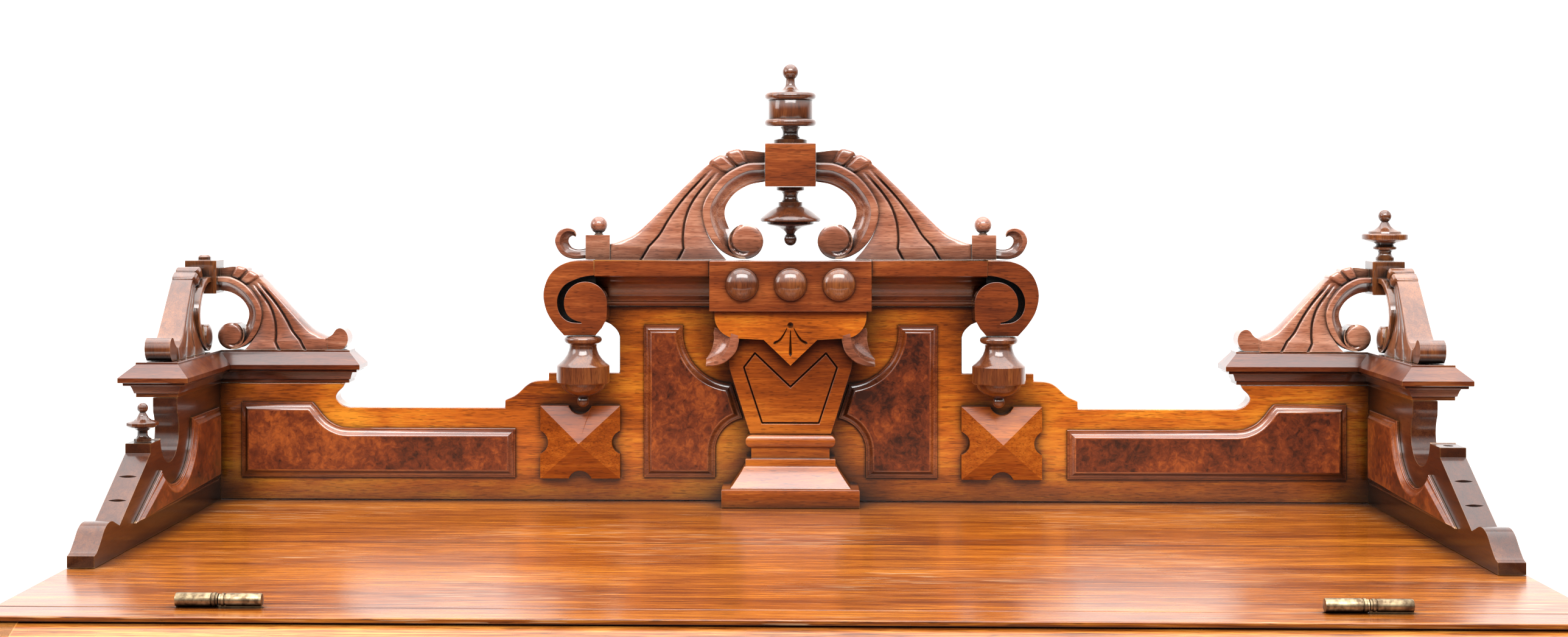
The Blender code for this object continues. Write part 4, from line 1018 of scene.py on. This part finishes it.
def small_finials():
    profile = [(8.2, 0), (8.2, 3), (7.6, 3.5), (6.2, 5), (5.7, 7), (6.4, 9), (10.2, 10.4), (10.5, 11)]
    profile += [(10.5, 12.6), (8.4, 13.4), (7.6, 14.8), (12, 16.6), (18, 18.2), (20.3, 19.4), (20.5, 20)]
    profile += [(20.5, 23.6), (19.8, 24.4), (15, 25), (14.4, 26.6), (9, 28.6), (5.6, 31.2), (4, 34)]
    profile += bead(5.9, 40.4, -58, 86, 16)
    base = height("corner_finial_right", 0)
    turning("corner_turning", "corner_finial_right", profile, POST_X, POST_OUT, base)
    profile = [(7, 0), (7, 2.4), (5.4, 3.2), (4.1, 5), (4, 8.4), (6, 10), (6.6, 10.8), (11.6, 12)]
    profile += [(12.9, 13.4), (12.9, 15.6), (11, 16.6), (7, 17.6), (4.8, 19.4), (3.2, 22.4)]
    profile += bead(4.3, 27.4, -56, 86, 14)
    base = height("side_finial_left", 0)
    turning("side_turning", "side_finial_left", profile, -(INNER + OUTER) / 2, SIDE_FINIAL_OUT, base, 8)


def gallery():
    back_board()
    tablet()
    apron()
    shield()
    crest_turnings()
    small_finials()
    for name, sign in SIDES:
        side_board(name, sign)
        burl_fields(name, sign)
        dress("pyramid_" + name, FACET_WALNUT, 0.6)
        cornice(name, sign)
        volute_pendant(name, sign)
        apron_ear(name, sign)
        crest(name, sign)
        corner(name, sign)


# Top, hood and hinges

SEAM_GAP = 0.5
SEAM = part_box("hood_lip")[1].y + SEAM_GAP * MM
HOOD_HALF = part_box("hood_shell")[1].x / MM
HOOD_FRONT = (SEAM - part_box("hood_shell")[0].y) / MM
HOOD_FOOT = height("hood_shell", 0)
HOOD_TOP = -4.3
HOOD_THICK = 16
CHEEK_THICK = 18
HINGE_X = 390.0
HINGE_HALF = 29.8
HINGE_RISE = 5.1


def before_seam(reach, z, x):
    """A point drawn from the side, reach in front of the hood's seam and z above the top board."""
    return Vector((x * MM, SEAM - reach * MM, BOARD + z * MM))


def key_plate(radius, field, hole, foot, lift=0.4):
    """The profile of a key plate: its rim, its raised field and the sunk keyhole."""
    steps = ((radius, 1.0), (radius - 1, 1.8), (field, 2.2), (field - 0.6, 2.8), (hole, 3), (hole - 0.4, 1.4),
             (0.2, 1.4))
    return [(radius, foot)] + [(r, h + lift) for r, h in steps]


def hood():
    """The quarter-round hood, a bent front on two cheeks, with its key plate, its lip and the top board."""
    lean = math.radians(22)
    pull = 0.42
    lead = HOOD_FRONT * pull
    a = (28.8, HOOD_TOP)
    b = (a[0] + lead * math.cos(lean), a[1] - lead * math.sin(lean))
    c = (HOOD_FRONT, HOOD_FOOT * pull)
    d = (HOOD_FRONT, HOOD_FOOT)
    outer = []
    for i in range(49):
        t = i / 48
        weights = ((1 - t) ** 3, 3 * t * (1 - t) ** 2, 3 * t * t * (1 - t), t ** 3)
        outer.append(tuple(sum(w * p[k] for w, p in zip(weights, (a, b, c, d))) for k in (0, 1)))
    inner = []
    for i, (p, q) in enumerate(outer):
        along = direction(outer, i)
        inner.append((p + HOOD_THICK * along.y, q - HOOD_THICK * along.x))
    bent = [(SEAM_GAP, HOOD_TOP)] + outer + inner[::-1] + [(SEAM_GAP, inner[0][1])]
    shapes = [prism(bent, -HOOD_HALF, HOOD_HALF, before_seam)]
    cheek = [(SEAM_GAP, HOOD_TOP)] + outer + [(SEAM_GAP, HOOD_FOOT)]
    for sign in (-1, 1):
        shapes.append(prism(cheek, sign * HOOD_HALF, sign * (HOOD_HALF - CHEEK_THICK), before_seam))
    piece("hood_shell_bent", joined(*shapes), HOOD_POLISH_PAINTED_LIGHTER, ["hood_shell"], "hood", edge=0.8)
    dress("hood_lip", TOP_POLISH, 1.0)
    dress("top_board", TOP_POLISH, 0.7)

    plate = turned(key_plate(15, 9, 3.4, 0.0),
                   lambda p, q, h: before_seam(HOOD_FRONT - 0.6 + h, HOOD_FOOT + 62 + q * 1.35, p), 36)
    piece("hood_escutcheon", plate, AGED_BRASS, body="hood")


def hinge(name, sign):
    """A lift-off hinge: two knuckles with a turned ring where they meet, on leaves let into the seam."""
    center = sign * HINGE_X

    def along(p, q, h):
        return Vector(((center + h) * MM, SEAM + p * MM, BOARD + (HINGE_RISE + q) * MM))

    for part, way, body, radius in (("fixed", -1, "case", 4.8), ("moving", 1, "hood", 4.5)):
        steps = ((-1.2, HINGE_HALF), (-0.3, 29.6), (0, 28.9), (0, 5.2), (-0.5, 4.8), (-0.5, 4.2), (0.1, 3.8),
                 (0.1, 2.2), (-0.5, 1.8), (-0.4, 0.4), (-1.2, CLEAR))
        barrel = turned([(radius + step, way * h) for step, h in steps], along, 40)
        xs = sorted((center + way * CLEAR, center + way * HINGE_HALF))
        ys = sorted((-way * CLEAR, -way * 1.9))
        leaf = box((xs[0] * MM, SEAM + ys[0] * MM, BOARD - 14 * MM),
                   (xs[1] * MM, SEAM + ys[1] * MM, BOARD + 3.1 * MM))
        piece("hinge_" + part + "_knuckle_" + name, joined(barrel, leaf), AGED_BRASS,
              ["hinge_" + name + "_" + part], body)


# Case, doors and drawers: lengths are metres here, apart from the profiles and the drawing of the fall

KNOB = ((8.4, -0.5), (9.4, 0), (9.6, 1.2), (8.8, 2.2), (8.5, 5), (9.4, 8), (12.6, 11.2), (16.2, 13.4),
        (17.4, 15.4), (17.5, 17.6), (16.6, 20), (13.6, 22.6), (9.6, 24.6), (9.2, 25.6), (8.2, 26.3), (4, 26.8),
        (0.3, 26.9))
STILE = 70 * MM
DRAWER_EDGE = 12 * MM
KNOB_REACH = 26 * MM


def moulding(name, corners, normal, width, rise, body):
    """A mitred frame of ovolo moulding round a panel: corners go round its outer edge."""
    center = sum(corners, Vector()) / len(corners)
    steps = ((0, -0.6), (0, 0.55), (0.12, 0.9), (0.3, 1.0), (0.48, 0.92), (0.62, 0.6), (0.72, 0.5),
             (0.78, 0.34), (1, 0.1), (1, -0.6))
    loops = []
    for share, level in steps:
        loop = []
        for point in corners:
            inward = [math.copysign(width * share, v) if abs(v) > 1e-6 else 0.0 for v in center - point]
            loop.append(point + Vector(inward) + normal * rise * level)
        loops.append(loop)
    piece(name, loft(loops, ring=True), CARVED_WALNUT, body=body)


def panel_corners(low, high, axis, level):
    """The corners of an upright rectangle across an axis."""
    corners = []
    for a, z in ((low[0], low[1]), (high[0], low[1]), (high[0], high[1]), (low[0], high[1])):
        point = [a, a, z]
        point[axis] = level
        corners.append(Vector(point))
    return corners


def veneer(name, corners, normal, body, thick=1.2):
    """A thin burl sheet laid on a panel's field."""
    shape = loft([[c + normal * t * MM for c in corners] for t in (-0.4, thick)])
    piece(name, shape, BURL, body=body, edge=0.3)


def framed_panel(kind, name, low, high, face, sign, body):
    """A moulding and a sunk burl field on an upright board that faces sideways, between (y, z) corners."""
    normal = Vector((sign, 0, 0))

    def rectangle(margin, level):
        near = (low[0] + margin, low[1] + margin)
        far = (high[0] - margin, high[1] - margin)
        return panel_corners(near, far, 0, level)

    moulding(kind + "_moulding_" + name, rectangle(STILE, face), normal, 16 * MM, 4 * MM, body)
    field = rectangle(STILE + 22 * MM, face - sign * 6 * MM)
    veneer(kind + "_veneer_" + name, field, normal, body)


def case_finish():
    for node_name in ("case_back", "case_side_left", "case_side_right"):
        dress(node_name, POST_WALNUT, 1.0)
    dress("case_base", CASE_WALNUT, 1.0)
    dress("writing_bed", CASE_WALNUT)
    for node_name in ("letter_rack_lower", "letter_rack_upper"):
        dress(node_name, INNER_WOOD)
    for name, sign in SIDES:
        low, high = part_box("case_side_" + name)
        face = high.x if sign > 0 else low.x
        framed_panel("case", name, (low.y, low.z), (high.y, high.z), face, sign, "case")
        dress("door_rod_" + name, AGED_BRASS, 0.4)


def fall_finish():
    """Three framed burl fields on the front of the fall, and the writing leather on its inside."""
    dress("fall_front", CASE_WALNUT)
    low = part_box("fall_front")[0]
    lean = math.radians(4)
    half_thick = 10
    corner_reach = half_thick * MM * (math.cos(lean) + math.sin(lean))
    pivot = Vector((0, low.y + corner_reach, low.z + corner_reach))

    def on_fall(x, up, out):
        """A point on the leaning fall: up from its pivot and out in front of its middle, in millimetres."""
        return Vector((x * MM, pivot.y + (up * math.sin(lean) - out * math.cos(lean)) * MM,
                       pivot.z + (up * math.cos(lean) + out * math.sin(lean)) * MM))

    sunk = half_thick - 0.4
    steps = ((0, sunk), (0, 12), (1.6, 13), (5, 13.3), (8, 12.6), (10.4, 11.2), (13, 10.4), (13, sunk))
    for index, (x0, x1) in enumerate(((-486, -180), (-160, 160), (180, 486))):
        outline = [(x0, 26), (x1, 26), (x1, 368), (x0, 368)]
        piece("fall_moulding_%d" % index, stepped(outline, steps, on_fall, ring=True), CARVED_WALNUT,
              body="fall")
        sheet = prism(inset(outline, 12.5), sunk, 10.8, on_fall)
        piece("fall_veneer_%d" % index, sheet, BURL, body="fall", edge=0.2)
    outline = [(-440, 40), (440, 40), (440, 350), (-440, 350)]
    sheet = prism(outline, -sunk, -10.6, on_fall)
    piece("fall_leather", sheet, WRITING_LEATHER, body="fall", edge=0.3)


def door_finish(name, sign):
    body = name + "_door"
    dress("door_" + name, POST_WALNUT, 0.9)
    low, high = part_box("door_" + name)
    face = high.x - KNOB_REACH if sign > 0 else low.x + KNOB_REACH
    free = low.y
    hang = SEAM - 10 * MM
    framed_panel("door", name, (free, low.z), (hang, high.z), face, sign, body)
    middle = (low.z + high.z) / 2

    def knob_place(p, q, h):
        return Vector((face + sign * h * MM, free + (45 + p) * MM, middle + q * MM))

    piece("door_knob_" + name, turned(KNOB, knob_place, 36), TURNED_WALNUT, body=body)
    plate = turned(key_plate(13, 8, 3, -0.4, 0.0), lambda p, q, h: knob_place(p, 70 + q * 1.4, h), 32)
    piece("door_escutcheon_" + name, plate, AGED_BRASS, body=body)


def drawer_finish(node_name, body):
    dress(node_name, CASE_WALNUT)
    low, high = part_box(node_name)
    face = low.y + KNOB_REACH
    normal = Vector((0, -1, 0))
    half = high.x

    def rectangle(margin):
        return panel_corners((-half + margin, low.z + margin), (half - margin, high.z - margin), 1, face)

    moulding(node_name + "_bead", rectangle(DRAWER_EDGE), normal, 9 * MM, 3 * MM, body)
    veneer(node_name + "_veneer", rectangle(2 * DRAWER_EDGE), normal, body, 0.8)
    middle = (low.z + high.z) / 2 + 0.5 * MM
    pitch = 0.6

    def knob_place(p, q, h):
        return Vector((-pitch / 2 + p * MM, face - h * MM, middle + q * MM))

    row(node_name + "_knobs", turned(KNOB, knob_place, 36), 2, (pitch, 0, 0), TURNED_WALNUT, body)
    key = middle + (high.z - low.z) / 4 - 20 * MM
    plate = turned(key_plate(13, 8, 3, -0.4),
                   lambda p, q, h: Vector((p * MM, face - h * MM, key + q * 1.4 * MM)), 32)
    piece(node_name + "_escutcheon", plate, AGED_BRASS, body=body)


def body_finish():
    case_finish()
    fall_finish()
    for name, sign in SIDES:
        door_finish(name, sign)
    for node_name, body in (("drawer_bottom", "low_drawer"), ("drawer_middle", "middle_drawer"),
                            ("drawer_top", "high_drawer")):
        drawer_finish(node_name, body)


# Studio and camera

def studio():
    """A pale floor, a white room and large soft lights."""
    floor = plain_object("floor", box((-4, -4, -0.02), (4, 4, 0)))
    material, tree, shader = fresh("pale studio floor")
    speckle = noise(tree, stretched(tree, "X", 90, 90), 4.0)
    tone = ramp(tree, speckle, (0.3, linear("#E6E3DF")), (0.7, linear("#F0EEEB")))
    fill(tree, shader, {"Base Color": tone, "Roughness": 0.7})
    floor.data.materials.append(material)

    # The room is bright above and behind the desk, and dim low down in front. The camera sees plain white.
    world = bpy.data.worlds.new("studio")
    world.use_nodes = True
    bpy.context.scene.world = world
    tree = world.node_tree
    way = node(tree, "ShaderNodeSeparateXYZ", {0: coordinates(tree, "Generated")}).outputs
    above = mapped(tree, way["Z"], 0.03, 1.5, 0.12, 0.34)
    behind = mapped(tree, way["Y"], 0.03, 1.8, 0.1, 0.7)
    seen = node(tree, "ShaderNodeLightPath").outputs["Is Camera Ray"]
    strength = maths(tree, "MAXIMUM", maths(tree, "MAXIMUM", above, behind), seen)
    fill(tree, tree.nodes["Background"], {"Strength": strength, "Color": (1, 1, 1, 1)})

    lights = (("overhead", (0.0, 0.5, 3.7), (0.0, 0.5, 1.4), 3.2, 2.4, 60),
              ("front high", (0.0, -1.7, 3.5), (0.0, 0.45, 1.5), 2.6, 1.1, 80),
              ("left", (-3.0, -0.4, 2.75), (0.0, 0.4, 1.45), 1.3, 1.3, 20))
    for name, place, target, width, depth, power in lights:
        light = bpy.data.lights.new(name, "AREA")
        light.shape = "RECTANGLE"
        light.size = width
        light.size_y = depth
        light.energy = power
        obj = added(name, light)
        obj.location = place
        obj.rotation_euler = (Vector(target) - Vector(place)).to_track_quat("-Z", "Y").to_euler()


def camera():
    """The photograph's level view, turned a little to the left, with its lens shifted. Sizes in the picture
    are its pixels."""
    wide = 2576
    tall = 1046
    focal_length = 3240.2
    center = (1223.5, 303.4)
    data = bpy.data.cameras.new("camera")
    data.sensor_width = 36.0
    data.lens = focal_length * data.sensor_width / wide
    data.shift_x = (wide / 2 - center[0]) / wide
    data.shift_y = (center[1] - tall / 2) / wide
    data.clip_start = 0.05
    obj = added("camera", data)
    obj.location = (0.0012, FACE - 1.7983, BOARD + 0.2885)
    obj.rotation_euler = (math.radians(90), 0, 0.02384)
    bpy.context.scene.camera = obj


gallery()
hood()
for hinge_name, hinge_sign in SIDES:
    hinge(hinge_name, hinge_sign)
body_finish()
studio()
camera()
bpy.context.scene.view_settings.view_transform = "Standard"
